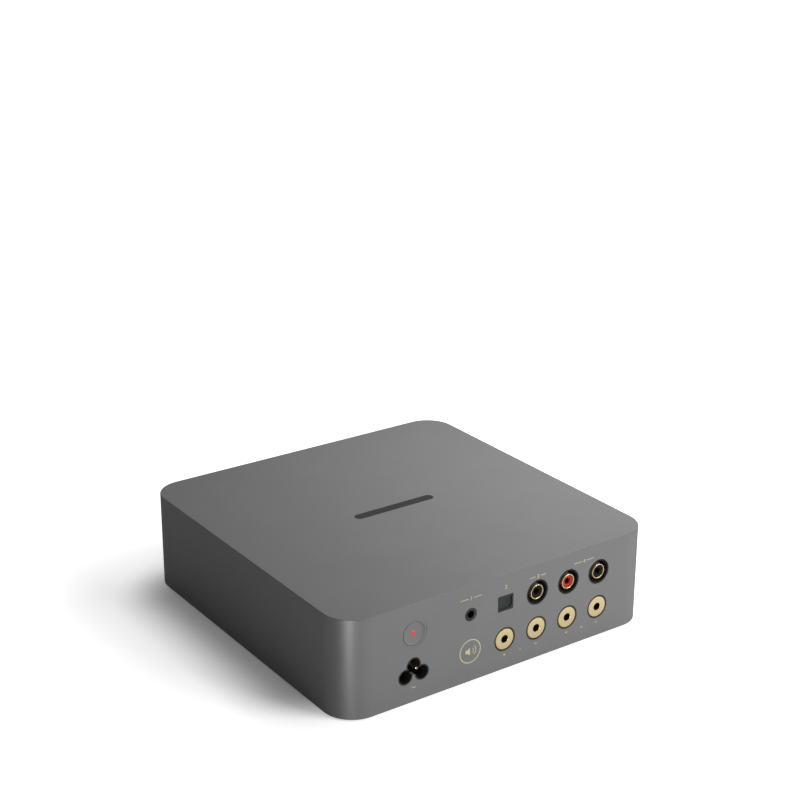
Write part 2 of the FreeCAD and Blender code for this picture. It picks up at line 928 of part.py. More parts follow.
def make_board_screws():
    head = s.board_screw_head_tall
    seats = [(x, y, board_top + head, DOWN) for x, y in supply_board_holes() + amplifier_board_holes()]
    back = connector_face - s.board_thick - head
    seats += [(x, back, z, TO_REAR) for x, z in connector_post_places()]
    back = rear - s.switch_board_in - s.board_thick - head
    seats += [(x, back, z, TO_REAR) for x, z in switch_post_places()]
    back = encoder_back + s.board_thick + head
    seats += [(x, back, z, TO_FRONT) for x, z in front_post_places()]
    screws = [board_screw(index + 1, *seat) for index, seat in enumerate(seats)]
    return keep(group("board_screws", screws))


def make_board_standoffs():
    posts = []
    for index, (x, y) in enumerate(supply_board_holes() + amplifier_board_holes(), start=1):
        outside = can(f"standoff_{index}_outside", x, y, plate_top, s.standoff_radius, s.standoff_tall)
        thread = can(f"standoff_{index}_thread", x, y, plate_top, board_pilot, s.standoff_tall)
        post = doc.addObject("Part::Cut", f"standoff_{index}")
        post.Base = outside
        post.Tool = thread
        posts.append(post)
    return keep(group("board_standoffs", posts))


# Boards
def make_flat_board(label, x, y, wide, long, holes):
    body = new_body(label)
    sketch = new_sketch(body, "XY_Plane", board_under)
    add_rectangle(sketch, x, x + wide, y, y + long)
    for px, py in holes:
        add_circle(sketch, px, py, board_hole)
    pad(body, sketch, s.board_thick)
    return keep(body)


def make_upright_board(label, x, z, wide, tall, rear_y, screw_places, tail_holes=()):
    """A board across the case; tail_holes are x, z and radius of what passes through it."""
    body = new_body(label)
    sketch = new_sketch(body, "XZ_Plane", -rear_y)
    add_rectangle(sketch, x, x + wide, z, z + tall)
    for px, pz in screw_places:
        add_circle(sketch, px, pz, board_hole)
    for px, pz, radius in tail_holes:
        add_circle(sketch, px, pz, radius + s.tail_play)
    pad(body, sketch, s.board_thick)
    return keep(body)


def make_boards():
    make_flat_board(
        "power_supply_board",
        s.supply_board_x,
        supply_front,
        supply_board_wide,
        s.supply_board_long,
        supply_board_holes(),
    )
    make_flat_board(
        "amplifier_board",
        amplifier_board_x,
        amplifier_front,
        amplifier_board_wide,
        s.amplifier_board_long,
        amplifier_board_holes(),
    )
    tails = [(socket_x(index), lower_row, s.speaker_tail_radius) for index in range(len(SPEAKER_SOCKETS))]
    tails += [(phono_x(index), upper_row, s.phono_tail_radius) for index in range(len(PHONO_SOCKETS))]
    make_upright_board(
        "connector_board",
        connector_board_x,
        bottom + s.connector_board_up,
        connector_board_wide,
        connector_board_tall,
        connector_face,
        connector_post_places(),
        tails,
    )
    make_upright_board(
        "switch_board",
        s.button_x - s.switch_board_wide / 2,
        upper_row - s.switch_board_tall / 2,
        s.switch_board_wide,
        s.switch_board_tall,
        rear - s.switch_board_in,
        switch_post_places(),
    )
    make_upright_board(
        "front_board",
        s.front_board_x,
        bottom + s.front_board_up,
        front_board_wide,
        front_board_tall,
        encoder_back + s.board_thick,
        front_post_places(),
    )
    link_y = connector_face - s.board_thick - s.board_link_deep
    link = box(
        "board_link",
        s.board_link_edge - case_side,
        link_y,
        board_top,
        s.board_link_wide,
        s.board_link_deep,
        s.board_link_tall,
    )
    keep(link)


# Phono sockets: a sunk collar, the metal shell, its insulator and the centre contact
def make_phono_socket(name, index):
    x = phono_x(index)
    face = s.wall + s.flange_gap
    flange_end = face + s.socket_flange_thick
    floor_end = s.collar_cup_deep + s.collar_floor
    shell_hole = s.shell_radius + s.screw_fit
    collar = [
        (s.collar_bore, ZERO),
        (s.collar_radius, ZERO),
        (s.collar_radius, -face),
        (s.socket_flange, -face),
        (s.socket_flange, -flange_end),
        (s.collar_radius, -flange_end),
        (s.collar_radius, -floor_end),
        (s.collar_back_radius, -floor_end),
        (s.collar_back_radius, -s.socket_in),
        (shell_hole, -s.socket_in),
        (shell_hole, -s.collar_cup_deep),
        (s.collar_bore, -s.collar_cup_deep),
    ]
    keep(turned(f"{name}_collar", collar, x, rear, upper_row))
    inner = s.shell_radius - s.shell_wall
    shell = [
        (inner, -s.shell_sunk),
        (s.shell_radius, -s.shell_sunk),
        (s.shell_radius, -s.socket_in),
        (inner, -s.socket_in),
    ]
    keep(turned(f"{name}_shell", shell, x, rear, upper_row))
    outer = inner - s.screw_fit
    sleeve = s.phono_contact_bore + s.phono_contact_wall + s.screw_fit
    lip_end = s.insulator_sunk + s.insulator_lip
    insulator = [
        (s.phono_contact_bore, -s.insulator_sunk),
        (outer, -s.insulator_sunk),
        (outer, -s.socket_in),
        (sleeve, -s.socket_in),
        (sleeve, -lip_end),
        (s.phono_contact_bore, -lip_end),
    ]
    keep(turned(f"{name}_insulator", insulator, x, rear, upper_row))


def make_phono_contacts():
    """The centre contacts, each a split tube in its insulator with a tail through the board."""
    start = s.insulator_sunk + s.insulator_lip + s.flange_gap
    outer = s.phono_contact_bore + s.phono_contact_wall
    bore_end = s.phono_contact_deep
    tail_end = s.socket_in + s.board_thick + s.tail_long
    profile = [
        (s.phono_contact_bore, -start),
        (outer, -start),
        (outer, -s.socket_in),
        (s.phono_tail_radius, -s.socket_in),
        (s.phono_tail_radius, -tail_end),
        (ZERO, -tail_end),
        (ZERO, -bore_end),
        (s.phono_contact_bore, -bore_end),
    ]
    contacts = [
        turned(f"phono_contact_{index + 1}", profile, phono_x(index), rear, upper_row)
        for index in range(len(PHONO_SOCKETS))
    ]
    return keep(group("phono_contacts", contacts))


# Speaker sockets: a bored metal contact in a black insulating bezel
def make_speaker_contact(name, index):
    mouth = s.speaker_mouth - s.speaker_bore
    tail_end = s.socket_in + s.board_thick + s.tail_long
    profile = [
        (s.speaker_mouth, ZERO),
        (s.speaker_ring, ZERO),
        (s.speaker_ring, -s.speaker_ring_thick),
        (s.speaker_neck, -s.speaker_ring_thick),
        (s.speaker_neck, -s.socket_in),
        (s.speaker_tail_radius, -s.socket_in),
        (s.speaker_tail_radius, -tail_end),
        (ZERO, -tail_end),
        (ZERO, -s.speaker_bore_deep),
        (s.speaker_bore, -s.speaker_bore_deep),
        (s.speaker_bore, -mouth),
    ]
    return keep(turned(f"speaker_{name}_contact", profile, socket_x(index), rear, lower_row))


def make_speaker_bezels():
    face = s.wall + s.flange_gap
    flange_end = face + s.socket_flange_thick
    seat = s.speaker_ring_thick + s.screw_fit
    profile = [
        (s.speaker_ring + s.screw_fit, ZERO),
        (s.bezel_radius, ZERO),
        (s.bezel_radius, -face),
        (s.socket_flange, -face),
        (s.socket_flange, -flange_end),
        (s.bezel_back_radius, -flange_end),
        (s.bezel_back_radius, -s.socket_in),
        (s.speaker_neck + s.screw_fit, -s.socket_in),
        (s.speaker_neck + s.screw_fit, -seat),
        (s.speaker_ring + s.screw_fit, -seat),
    ]
    bezels = [
        turned(f"speaker_bezel_{index + 1}", profile, socket_x(index), rear, lower_row)
        for index in range(len(SPEAKER_SOCKETS))
    ]
    return keep(group("speaker_bezels", bezels))


# Trigger jack
def make_trigger_jack():
    face = s.wall + s.flange_gap
    mouth = s.trigger_mouth - s.trigger_bore
    profile = [
        (s.trigger_mouth, ZERO),
        (s.trigger_ring, ZERO),
        (s.trigger_ring, -face),
        (s.trigger_body_radius, -face),
        (s.trigger_body_radius, -s.socket_in),
        (ZERO, -s.socket_in),
        (ZERO, -s.trigger_bore_deep),
        (s.trigger_bore, -s.trigger_bore_deep),
        (s.trigger_bore, -mouth),
    ]
    return keep(turned("trigger_jack", profile, s.trigger_x, rear, upper_row))


# Optical socket with its hinged shutter
optical_in_wide = s.optical_wide / 2 - s.optical_rim
optical_in_tall = s.optical_tall / 2 - s.optical_rim
shutter_axis_in = s.shutter_sunk + s.shutter_knuckle
shutter_axis_up = optical_in_tall - s.shutter_play - s.shutter_knuckle


def make_optical_housing():
    body = new_body("optical_housing", first_socket_x, rear, upper_row)
    wide = s.optical_wide / 2
    tall = s.optical_tall / 2
    face = s.wall + s.flange_gap
    half = s.optical_body / 2
    sketch = new_sketch(body, "XZ_Plane")
    add_rounded(sketch, -wide, wide, -tall, tall, s.optical_corner - s.socket_fit)
    pad(body, sketch, s.socket_in)
    sketch = new_sketch(body, "XZ_Plane", face)
    add_rectangle(sketch, -half, half, -half, half)
    pad(body, sketch, s.socket_in - face)
    sketch = new_sketch(body, "XZ_Plane")
    add_rectangle(sketch, -optical_in_wide, optical_in_wide, -optical_in_tall, optical_in_tall)
    pocket(body, sketch, s.optical_cavity_deep, reverse=True)
    receiver_front = s.socket_in - s.receiver_thick
    sketch = new_sketch(body, "XZ_Plane", s.optical_cavity_deep)
    low = optical_in_tall
    bore = s.optical_plug_bore
    add_rectangle(sketch, -bore, bore, -low, bore * 2 - low)
    pocket(body, sketch, receiver_front - s.optical_cavity_deep, reverse=True)
    sketch = new_sketch(body, "XZ_Plane", receiver_front)
    seat = s.receiver_wide / 2 + s.screw_fit
    add_rectangle(sketch, -seat, seat, -seat, seat)
    pocket(body, sketch, s.receiver_thick, reverse=True)
    sketch = new_sketch(body, "YZ_Plane")
    add_circle(sketch, -shutter_axis_in, shutter_axis_up, s.shutter_pin_radius + s.shutter_pin_play)
    pocket(body, sketch, (optical_in_wide + s.shutter_pin_grip) * 2, both=True)
    return keep(body)


def make_optical_receiver():
    half = s.receiver_wide / 2
    return keep(
        box(
            "optical_receiver",
            first_socket_x - half,
            connector_face,
            upper_row - half,
            s.receiver_wide,
            s.receiver_thick,
            s.receiver_wide,
        )
    )


def make_optical_shutter():
    """A flap with a knuckle along its top edge, seen from its end and drawn out along X."""
    body = new_body("optical_shutter", first_socket_x, rear, upper_row)
    wide = (optical_in_wide - s.shutter_play) * 2
    low = -(optical_in_tall - s.shutter_low_play)
    front_in = -s.shutter_sunk
    back_in = -(s.shutter_sunk + s.shutter_thick)
    sketch = new_sketch(body, "YZ_Plane")
    add_rectangle(sketch, back_in, front_in, low, shutter_axis_up)
    pad(body, sketch, wide, both=True)
    sketch = new_sketch(body, "YZ_Plane")
    add_circle(sketch, -shutter_axis_in, shutter_axis_up, s.shutter_knuckle)
    pad(body, sketch, wide, both=True)
    sketch = new_sketch(body, "YZ_Plane")
    add_circle(sketch, -shutter_axis_in, shutter_axis_up, s.shutter_pin_radius + s.shutter_pin_play)
    pocket(body, sketch, wide * THROUGH, both=True)
    return keep(body)


def make_shutter_pin():
    body = new_body("shutter_pin", first_socket_x, rear, upper_row)
    sketch = new_sketch(body, "YZ_Plane")
    add_circle(sketch, -shutter_axis_in, shutter_axis_up, s.shutter_pin_radius)
    grip = s.shutter_pin_grip - s.screw_fit
    pad(body, sketch, (optical_in_wide + grip) * 2, both=True)
    return keep(body)


# Mains inlet
def make_inlet_body():
    body = new_body("inlet_body", y=rear)
    face = s.wall
    half = s.inlet_wide / 2
    sketch = new_sketch(body, "XZ_Plane", face)
    add_rectangle(sketch, s.inlet_x - half, s.inlet_x + half, board_top, board_top + s.inlet_tall)
    pad(body, sketch, s.inlet_deep - face)
    for x, z in lobe_places():
        sketch = new_sketch(body, "XZ_Plane")
        add_circle(sketch, x, z, s.lobe_radius)
        pad(body, sketch, face + s.lobe_wall)
    sketch = new_sketch(body, "XZ_Plane")
    add_outline(sketch, lobe_places())
    pad(body, sketch, face + s.lobe_wall)
    cut_clover(body, ZERO, s.lobe_radius - s.lobe_wall, s.inlet_cavity_deep, True)
    sketch = new_sketch(body, "XZ_Plane", s.inlet_cavity_deep)
    for x, z in lobe_places():
        add_circle(sketch, x, z, s.inlet_pin_radius + s.screw_fit)
    pocket(body, sketch, s.inlet_deep - s.inlet_cavity_deep, reverse=True)
    return keep(body)


def make_inlet_pins():
    pins = []
    end_in = s.inlet_deep + s.board_thick
    for index, (x, z) in enumerate(lobe_places(), start=1):
        long = end_in - s.inlet_pin_sunk
        pins.append(can(f"inlet_pin_{index}", x, rear - end_in, z, s.inlet_pin_radius, long, TO_REAR))
    return keep(group("inlet_pins", pins))


# Power button, its red dot, and the push switch behind it
def make_power_button():
    neck_end = s.wall + s.button_stop_gap
    flange_end = neck_end + s.button_flange_thick
    dish_radius = s.button_radius - s.button_dish_rim
    seat_radius = s.dot_radius + s.dot_fit
    seat_in = s.button_dish + s.dot_thick
    profile = [
        (dish_radius, ZERO),
        (s.button_radius, ZERO),
        (s.button_radius, -neck_end),
        (s.button_flange, -neck_end),
        (s.button_flange, -flange_end),
        (s.button_stem, -flange_end),
        (s.button_stem, -s.button_stem_end_in),
        (ZERO, -s.button_stem_end_in),
        (ZERO, -seat_in),
        (seat_radius, -seat_in),
        (seat_radius, -s.button_dish),
    ]
    return keep(turned("power_button", profile, s.button_x, rear, upper_row))


def make_power_button_dot():
    start = s.button_dish
    profile = [
        (ZERO, -start),
        (s.dot_radius, -start),
        (s.dot_radius, -(start + s.dot_thick)),
        (ZERO, -(start + s.dot_thick)),
    ]
    return keep(turned("power_button_dot", profile, s.button_x, rear, upper_row))


def make_switch_plunger():
    profile = [
        (ZERO, -s.button_stem_end_in),
        (s.plunger_radius, -s.button_stem_end_in),
        (s.plunger_radius, -s.plunger_end_in),
        (ZERO, -s.plunger_end_in),
    ]
    return keep(turned("switch_plunger", profile, s.button_x, rear, upper_row))


def make_switch_body():
    body = new_body("switch_body", s.button_x, rear, upper_row)
    half = s.switch_size / 2
    sketch = new_sketch(body, "XZ_Plane", s.switch_front_in)
    add_rectangle(sketch, -half, half, -half, half)
    pad(body, sketch, s.switch_board_in - s.switch_front_in)
    bore = s.plunger_radius + s.plunger_play
    bottom_in = s.switch_board_in - s.switch_floor
    groove(
        body,
        [
            (ZERO, -s.switch_front_in),
            (bore, -s.switch_front_in),
            (bore, -bottom_in),
            (ZERO, -bottom_in),
        ],
    )
    return keep(body)


# Volume knob on its rotary encoder. Distances here run inward from the outer front face.
def make_encoder_body():
    body = new_body("encoder_body", s.knob_x, front, knob_z)
    half = s.encoder_size / 2
    back = s.wall + s.encoder_deep
    sketch = new_sketch(body, "XZ_Plane", -s.wall)
    add_rectangle(sketch, -half, half, -half, half)
    pad(body, sketch, s.encoder_deep, reverse=True)
    sketch = new_sketch(body, "XZ_Plane", s.bushing_proud)
    add_circle(sketch, ZERO, ZERO, s.bushing_radius)
    pad(body, sketch, s.bushing_proud + s.wall, reverse=True)
    shaft_hole = s.shaft_radius + s.shaft_play
    cavity_front = s.wall + s.encoder_front_skin
    cavity_back = back - s.encoder_back_skin
    rod_hole = s.rod_radius + s.rod_play
    groove(
        body,
        [
            (ZERO, -s.bushing_proud),
            (shaft_hole, -s.bushing_proud),
            (shaft_hole, cavity_front),
            (s.encoder_cavity, cavity_front),
            (s.encoder_cavity, cavity_back),
            (rod_hole, cavity_back),
            (rod_hole, back),
            (ZERO, back),
        ],
    )
    return keep(body)


def make_encoder_rod():
    profile = [
        (ZERO, s.rod_front_in),
        (s.rod_radius, s.rod_front_in),
        (s.rod_radius, s.rod_back_in),
        (ZERO, s.rod_back_in),
    ]
    return keep(turned("encoder_rod", profile, s.knob_x, front, knob_z))


def make_encoder_shaft():
    flange_front = s.wall + s.shaft_flange_in
    flange_back = flange_front + s.shaft_flange_thick
    end = -(knob_proud - s.knob_cap_thick)
    rod_hole = s.rod_radius + s.rod_play
    profile = [
        (ZERO, end),
        (s.shaft_radius, end),
        (s.shaft_radius, flange_front),
        (s.shaft_flange, flange_front),
        (s.shaft_flange, flange_back),
        (rod_hole, flange_back),
        (rod_hole, s.rod_front_in),
        (ZERO, s.rod_front_in),
    ]
    return keep(turned("encoder_shaft", profile, s.knob_x, front, knob_z))


def make_encoder_nut():
    body = new_body("encoder_nut", s.knob_x, front, knob_z)
    sketch = new_sketch(body, "XZ_Plane")
    flat = s.nut_radius * 0.5
    side = s.nut_radius * math.cos(math.pi / 6)
    add_outline(
        sketch,
        [
            (-flat, -side),
            (flat, -side),
            (s.nut_radius, ZERO),
            (flat, side),
            (-flat, side),
            (-s.nut_radius, ZERO),
        ],
    )
    add_circle(sketch, ZERO, ZERO, s.bushing_radius + s.screw_fit)
    pad(body, sketch, s.nut_thick)
    return keep(body)


def make_volume_knob():
    back = s.knob_gap
    hollow_end = back + s.knob_hollow_deep
    bore = s.shaft_radius + s.screw_fit
    bore_end = knob_proud - s.knob_cap_thick
    profile = [
        (s.knob_hollow, -back),
        (s.knob_radius, -back),
        (s.knob_radius, -knob_proud),
        (ZERO, -knob_proud),
        (ZERO, -bore_end),
        (bore, -bore_end),
        (bore, -hollow_end),
        (s.knob_hollow, -hollow_end),
    ]
    body = turned("volume_knob", profile, s.knob_x, front, knob_z)
    base = body.Tip
    level = (front - knob_proud).value

    def outer_rim(edge):
        box_of = edge.BoundBox
        return max(abs(box_of.YMin - level), abs(box_of.YMax - level)) < SAME_LEVEL

    rim = [f"Edge{number}" for number, edge in enumerate(body.Shape.Edges, start=1) if outer_rim(edge)]
    feature = body.newObject("PartDesign::Fillet", "volume_knob_fillet")
    feature.Base = (base, rim)
    bind(feature, Radius=s.knob_edge_round)
    doc.recompute()
    return keep(body)


def make_light_pipes():
    """Clear pipes from the board through the front wall, each with a foot on the board."""
    back = s.wall + s.encoder_deep
    profile = [
        (ZERO, ZERO),
        (s.light_radius, ZERO),
        (s.light_radius, back - s.light_foot_thick),
        (s.light_foot, back - s.light_foot_thick),
        (s.light_foot, back),
        (ZERO, back),
    ]
    pipes = [
        turned(f"light_pipe_{index}", profile, x, front, z)
        for index, (x, z) in enumerate(light_places(), start=1)
    ]
    return keep(group("light_pipes", pipes))


# Power supply parts
def make_supply_parts():
    x = s.supply_board_x
    y = supply_front
    keep(box("mains_fuse", x + s.fuse_x, y + s.fuse_y, board_top, s.fuse_wide, s.fuse_deep, s.fuse_tall))
    keep(
        box(
            "filter_capacitor",
            x + s.filter_cap_x,
            y + s.filter_cap_y,
            board_top,
            s.filter_cap_wide,
            s.filter_cap_deep,
            s.filter_cap_tall,
        )
    )
    choke = doc.addObject("Part::Torus", "filter_choke")
    choke.Label = "filter_choke"
    bind(choke, Radius1=s.choke_ring, Radius2=s.choke_thick)
    place(choke, x + s.choke_x, y + s.choke_y, board_top + s.choke_thick)
    keep(choke)
    bulks = [
        can(
            f"bulk_capacitor_{index + 1}",
            x + s.bulk_x + s.bulk_pitch * index,
            y + s.bulk_y,
            board_top,
            s.bulk_radius,
            s.bulk_tall,
        )
        for index in range(BULK_COUNT)
    ]
    keep(group("bulk_capacitors", bulks))
    make_supply_heatsink(x + s.supply_sink_x, y + s.supply_sink_y)
    make_transformer(x + s.core_x, y + s.core_y)


def make_supply_heatsink(x, y):
    """A bent plate: a foot on the board and an upright leaf."""
    body = new_body("supply_heatsink", x, y, board_top)
    sketch = new_sketch(body, "YZ_Plane")
    thick = s.supply_sink_thick
    add_outline(
        sketch,
        [
            (ZERO, ZERO),
            (s.supply_sink_foot, ZERO),
            (s.supply_sink_foot, thick),
            (thick, thick),
            (thick, s.supply_sink_tall),
            (ZERO, s.supply_sink_tall),
        ],
    )
    pad(body, sketch, s.supply_sink_wide)
    return keep(body)


def make_transformer(x, y):
    """A ferrite core with two windows, and the winding round its middle leg."""
    leg = s.core_leg
    window = (s.core_wide - leg * 4) / 2
    first = leg
    second = leg + window + leg * 2
    core = new_body("transformer_core", x, y, board_top)
    sketch = new_sketch(core, "XZ_Plane")
    add_rectangle(sketch, ZERO, s.core_wide, ZERO, s.core_tall)
    pad(core, sketch, s.core_deep, reverse=True)
    for left in (first, second):
        sketch = new_sketch(core, "XZ_Plane")
        add_rectangle(sketch, left, left + window, leg, s.core_tall - leg)
        pocket(core, sketch, s.core_deep)
    keep(core)
    play = s.winding_play
    winding = new_body("transformer_winding", x, y, board_top)
    sketch = new_sketch(winding, "XY_Plane", leg + play)
    add_rounded(
        sketch,
        first + play,
        second + window - play,
        -s.winding_out,
        s.core_deep + s.winding_out,
        s.winding_corner,
    )
    add_rectangle(
        sketch,
        first + window - play,
        second + play,
        -play,
        s.core_deep + play,
    )
    pad(winding, sketch, s.core_tall - leg * 2 - play * 2)
    return keep(winding)


# Amplifier parts
def make_amplifier_parts():
    x = amplifier_board_x
    y = amplifier_front
    chip_x = x + s.sink_x + s.sink_wide / 2 - s.chip_size / 2
    chip_y = y + s.sink_y + s.sink_deep / 2 - s.chip_size / 2
    keep(box("amplifier_chip", chip_x, chip_y, board_top, s.chip_size, s.chip_size, s.chip_tall))
    make_amplifier_heatsink(x + s.sink_x, y + s.sink_y)
    coils = [
        box(
            f"output_inductor_{index + 1}",
            x + s.coil_x + s.coil_pitch * index,
            y + s.coil_y,
            board_top,
            s.coil_size,
            s.coil_size,
            s.coil_tall,
        )
        for index in range(COIL_COUNT)
    ]
    keep(group("output_inductors", coils))
    relays = [
        box(
            f"speaker_relay_{index + 1}",
            x + s.relay_x,
            y + s.relay_y + s.relay_pitch * index,
            board_top,
            s.relay_wide,
            s.relay_deep,
            s.relay_tall,
        )
        for index in range(RELAY_COUNT)
    ]
    keep(group("speaker_relays", relays))
    reservoirs = [
        can(
            f"reservoir_capacitor_{row * RESERVOIR_COLUMN_COUNT + column + 1}",
            x + s.reservoir_x + s.reservoir_pitch * column,
            y + s.reservoir_y + s.reservoir_pitch * row,
            board_top,
            s.reservoir_radius,
            s.reservoir_tall,
        )
        for row in range(RESERVOIR_ROW_COUNT)
        for column in range(RESERVOIR_COLUMN_COUNT)
    ]
    keep(group("reservoir_capacitors", reservoirs))


def make_amplifier_heatsink(x, y):
    """A comb of fins on a base that lies on the chip, with a leg at each end."""
    body = new_body("amplifier_heatsink", x, y, board_top)
    wide = s.sink_wide
    base_low = s.chip_tall
    base_high = base_low + s.sink_base
    inset = (wide - s.sink_fin_pitch * (FIN_COUNT - 1) - s.sink_fin) / 2
    points = [(ZERO, ZERO), (s.sink_leg, ZERO), (s.sink_leg, base_low)]
    points += [(wide - s.sink_leg, base_low), (wide - s.sink_leg, ZERO), (wide, ZERO), (wide, base_high)]
    for index in reversed(range(FIN_COUNT)):
        left = inset + s.sink_fin_pitch * index
        right = left + s.sink_fin
        points += [(right, base_high), (right, s.sink_tall), (left, s.sink_tall), (left, base_high)]
    points.append((ZERO, base_high))
    sketch = new_sketch(body, "XZ_Plane")
    add_outline(sketch, points)
    pad(body, sketch, s.sink_deep, reverse=True)
    return keep(body)


# Leads between the boards
def make_leads():
    x = s.supply_board_x + s.power_lead_x
    y = supply_front + s.power_lead_y
    far = x - s.power_lead_reach
    high = board_top + s.power_lead_rise
    route = [(x, y, board_top), (x, y, high), (far, y, high), (far, y, board_top)]
    keep(lead("power_lead", route, Vector(0, 1, 0), POWER_WIRE_COUNT))
    x = boards_meet - s.front_lead_apart
    y = amplifier_front + s.front_lead_y
    high = board_top + s.front_lead_rise
    route = [(x, encoder_back + s.board_thick, high), (x, y, high), (x, y, board_top)]
    keep(lead("front_lead", route, Vector(1, 0, 0), FRONT_WIRE_COUNT))
    x = s.button_x + s.switch_lead_x
    back = rear - s.switch_board_in - s.board_thick
    y = back - s.switch_lead_reach
    high = upper_row - s.switch_lead_down
    route = [(x, back, high), (x, y, high), (x, y, board_top)]
    keep(lead("switch_lead", route, Vector(1, 0, 0), SWITCH_WIRE_COUNT))


def build():
    make_case_shell()
    make_top_inlay()
    make_base_plate()
    make_rubber_feet()
    make_cover_screws()
    make_board_standoffs()
    make_board_screws()
    make_boards()
    for index, name in enumerate(PHONO_SOCKETS):
        make_phono_socket(name, index)
    make_phono_contacts()
    for index, name in enumerate(SPEAKER_SOCKETS):
        make_speaker_contact(name, index)
    make_speaker_bezels()
    make_trigger_jack()
    make_optical_housing()
    make_optical_receiver()
    make_optical_shutter()
    make_shutter_pin()
    make_inlet_body()
    make_inlet_pins()
    make_power_button()
    make_power_button_dot()
    make_switch_plunger()
    make_switch_body()
    make_encoder_body()
    make_encoder_rod()
    make_encoder_shaft()
    make_encoder_nut()
    make_volume_knob()
    make_light_pipes()
    make_supply_parts()
    make_amplifier_parts()
    make_leads()
    doc.recompute()


def check():
    """Every object must be sound, and every sub-part a valid solid shape."""
    for thing in doc.Objects:
        if "Invalid" in thing.State or "Error" in thing.State:
            raise ValueError(f"{thing.Name} failed: {thing.State}")
    for piece in made:
        if piece.Shape.isNull() or not piece.Shape.isValid():
            raise ValueError(f"{piece.Label} has no valid shape")


def write():
    os.makedirs("parts", exist_ok=True)
    for piece in made:
        piece.Shape.exportStep(os.path.join("parts", f"{piece.Label}.step"))
    print(len(made), "sub-parts written")


build()
check()
write()
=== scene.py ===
"""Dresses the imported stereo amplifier: its sockets, button, knob, feet, print and finishes."""

import logging
import math
from dataclasses import dataclass
from enum import Enum
from typing import Callable, Iterable, Sequence

import bpy
from mathutils import Matrix, Vector


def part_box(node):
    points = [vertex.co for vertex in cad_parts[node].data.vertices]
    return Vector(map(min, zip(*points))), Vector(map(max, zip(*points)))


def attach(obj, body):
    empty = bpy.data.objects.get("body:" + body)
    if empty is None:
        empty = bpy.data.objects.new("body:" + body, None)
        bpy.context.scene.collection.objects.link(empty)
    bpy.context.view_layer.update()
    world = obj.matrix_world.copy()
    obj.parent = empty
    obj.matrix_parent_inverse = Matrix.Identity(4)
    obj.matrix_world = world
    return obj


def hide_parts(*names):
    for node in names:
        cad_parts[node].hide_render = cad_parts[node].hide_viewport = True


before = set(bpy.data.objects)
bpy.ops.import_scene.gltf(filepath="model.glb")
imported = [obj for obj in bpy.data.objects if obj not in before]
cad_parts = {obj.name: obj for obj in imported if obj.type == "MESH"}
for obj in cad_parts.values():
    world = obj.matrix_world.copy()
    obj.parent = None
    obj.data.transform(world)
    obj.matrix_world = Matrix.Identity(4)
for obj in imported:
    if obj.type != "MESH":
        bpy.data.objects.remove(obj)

LOG = logging.getLogger("amplifier")
MM = 0.001
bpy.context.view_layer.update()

Ring = tuple[float, float]
Colour = tuple[float, float, float]

WHITE = (1.0, 1.0, 1.0, 1.0)
WAVE_LENGTH = 0.314  # between the marks of a wave texture of scale 1
MERGE_WITHIN = 0.0001 * MM
SMOOTH_BELOW = math.radians(32)
ROUND_ABOVE = math.radians(30)
SQUARE_ON = 0.9  # a face looks along an axis when its normal has at least this share of it


# Shader building

class Axis(Enum):
    """An axis of the object."""

    X = "X"
    Y = "Y"
    Z = "Z"


class Marks(Enum):
    """How fine marks run: round an axis or across it."""

    RINGS = "rings"
    BANDS = "bands"


class Ease(Enum):
    """How a step from 0 to 1 goes."""

    STRAIGHT = "LINEAR"
    SOFT = "SMOOTHSTEP"


class Number:
    """A number carried by a node's socket; arithmetic on it adds Math nodes."""

    def __init__(self, nodes: "Nodes", socket: bpy.types.NodeSocket) -> None:
        """Wraps a socket.

        Args:
            nodes: the node tree that holds the socket.
            socket: the output socket that carries the number.
        """
        self.nodes = nodes
        self.socket = socket

    def _with(self, operation: str, left: object, right: object) -> "Number":
        """Adds one Math node on two operands and returns its result."""
        node = self.nodes.add("ShaderNodeMath", {"operation": operation}, {0: left, 1: right})
        return Number(self.nodes, node.outputs[0])

    def __add__(self, other: object) -> "Number":
        """self + other."""
        return self._with("ADD", self, other)

    def __radd__(self, other: object) -> "Number":
        """other + self."""
        return self._with("ADD", other, self)

    def __rsub__(self, other: object) -> "Number":
        """other - self."""
        return self._with("SUBTRACT", other, self)

    def __mul__(self, other: object) -> "Number":
        """self * other."""
        return self._with("MULTIPLY", self, other)

    def __rmul__(self, other: object) -> "Number":
        """other * self."""
        return self._with("MULTIPLY", other, self)


class Nodes:
    """A node tree under construction."""

    def __init__(self, tree: bpy.types.NodeTree) -> None:
        """Starts with the tree emptied."""
        self.tree = tree
        self.tree.nodes.clear()

    def add(self, kind: str, settings: dict | None = None, inputs: dict | None = None) -> bpy.types.Node:
        """Adds a node.

        Args:
            kind: the node's type.
            settings: properties that are set before its sockets.
            inputs: values or links by socket name or number.

        Returns:
            The new node.
        """
        node = self.tree.nodes.new(kind)
        for name, value in (settings or {}).items():
            setattr(node, name, value)
        for key, value in (inputs or {}).items():
            self.feed(node.inputs[key], value)
        return node

    def feed(self, socket: bpy.types.NodeSocket, value: object) -> None:
        """Links a socket to another one, or sets its value.

        Args:
            socket: the input socket.
            value: a Number, an output socket, or a plain value.
        """
        if isinstance(value, Number):
            value = value.socket
        if isinstance(value, bpy.types.NodeSocket):
            self.tree.links.new(value, socket)
        else:
            socket.default_value = value

    def seen(self) -> Number:
        """1 for rays of the camera, of reflections and of clear materials, otherwise 0.

        Returns:
            The number that a white background's strength is worked out from.
        """
        path = self.add("ShaderNodeLightPath")
        total = Number(self, path.outputs["Is Camera Ray"]) + Number(self, path.outputs["Is Glossy Ray"])
        total = total + Number(self, path.outputs["Is Transmission Ray"])
        clamp = self.add("ShaderNodeClamp", inputs={"Value": total})
        return Number(self, clamp.outputs[0])


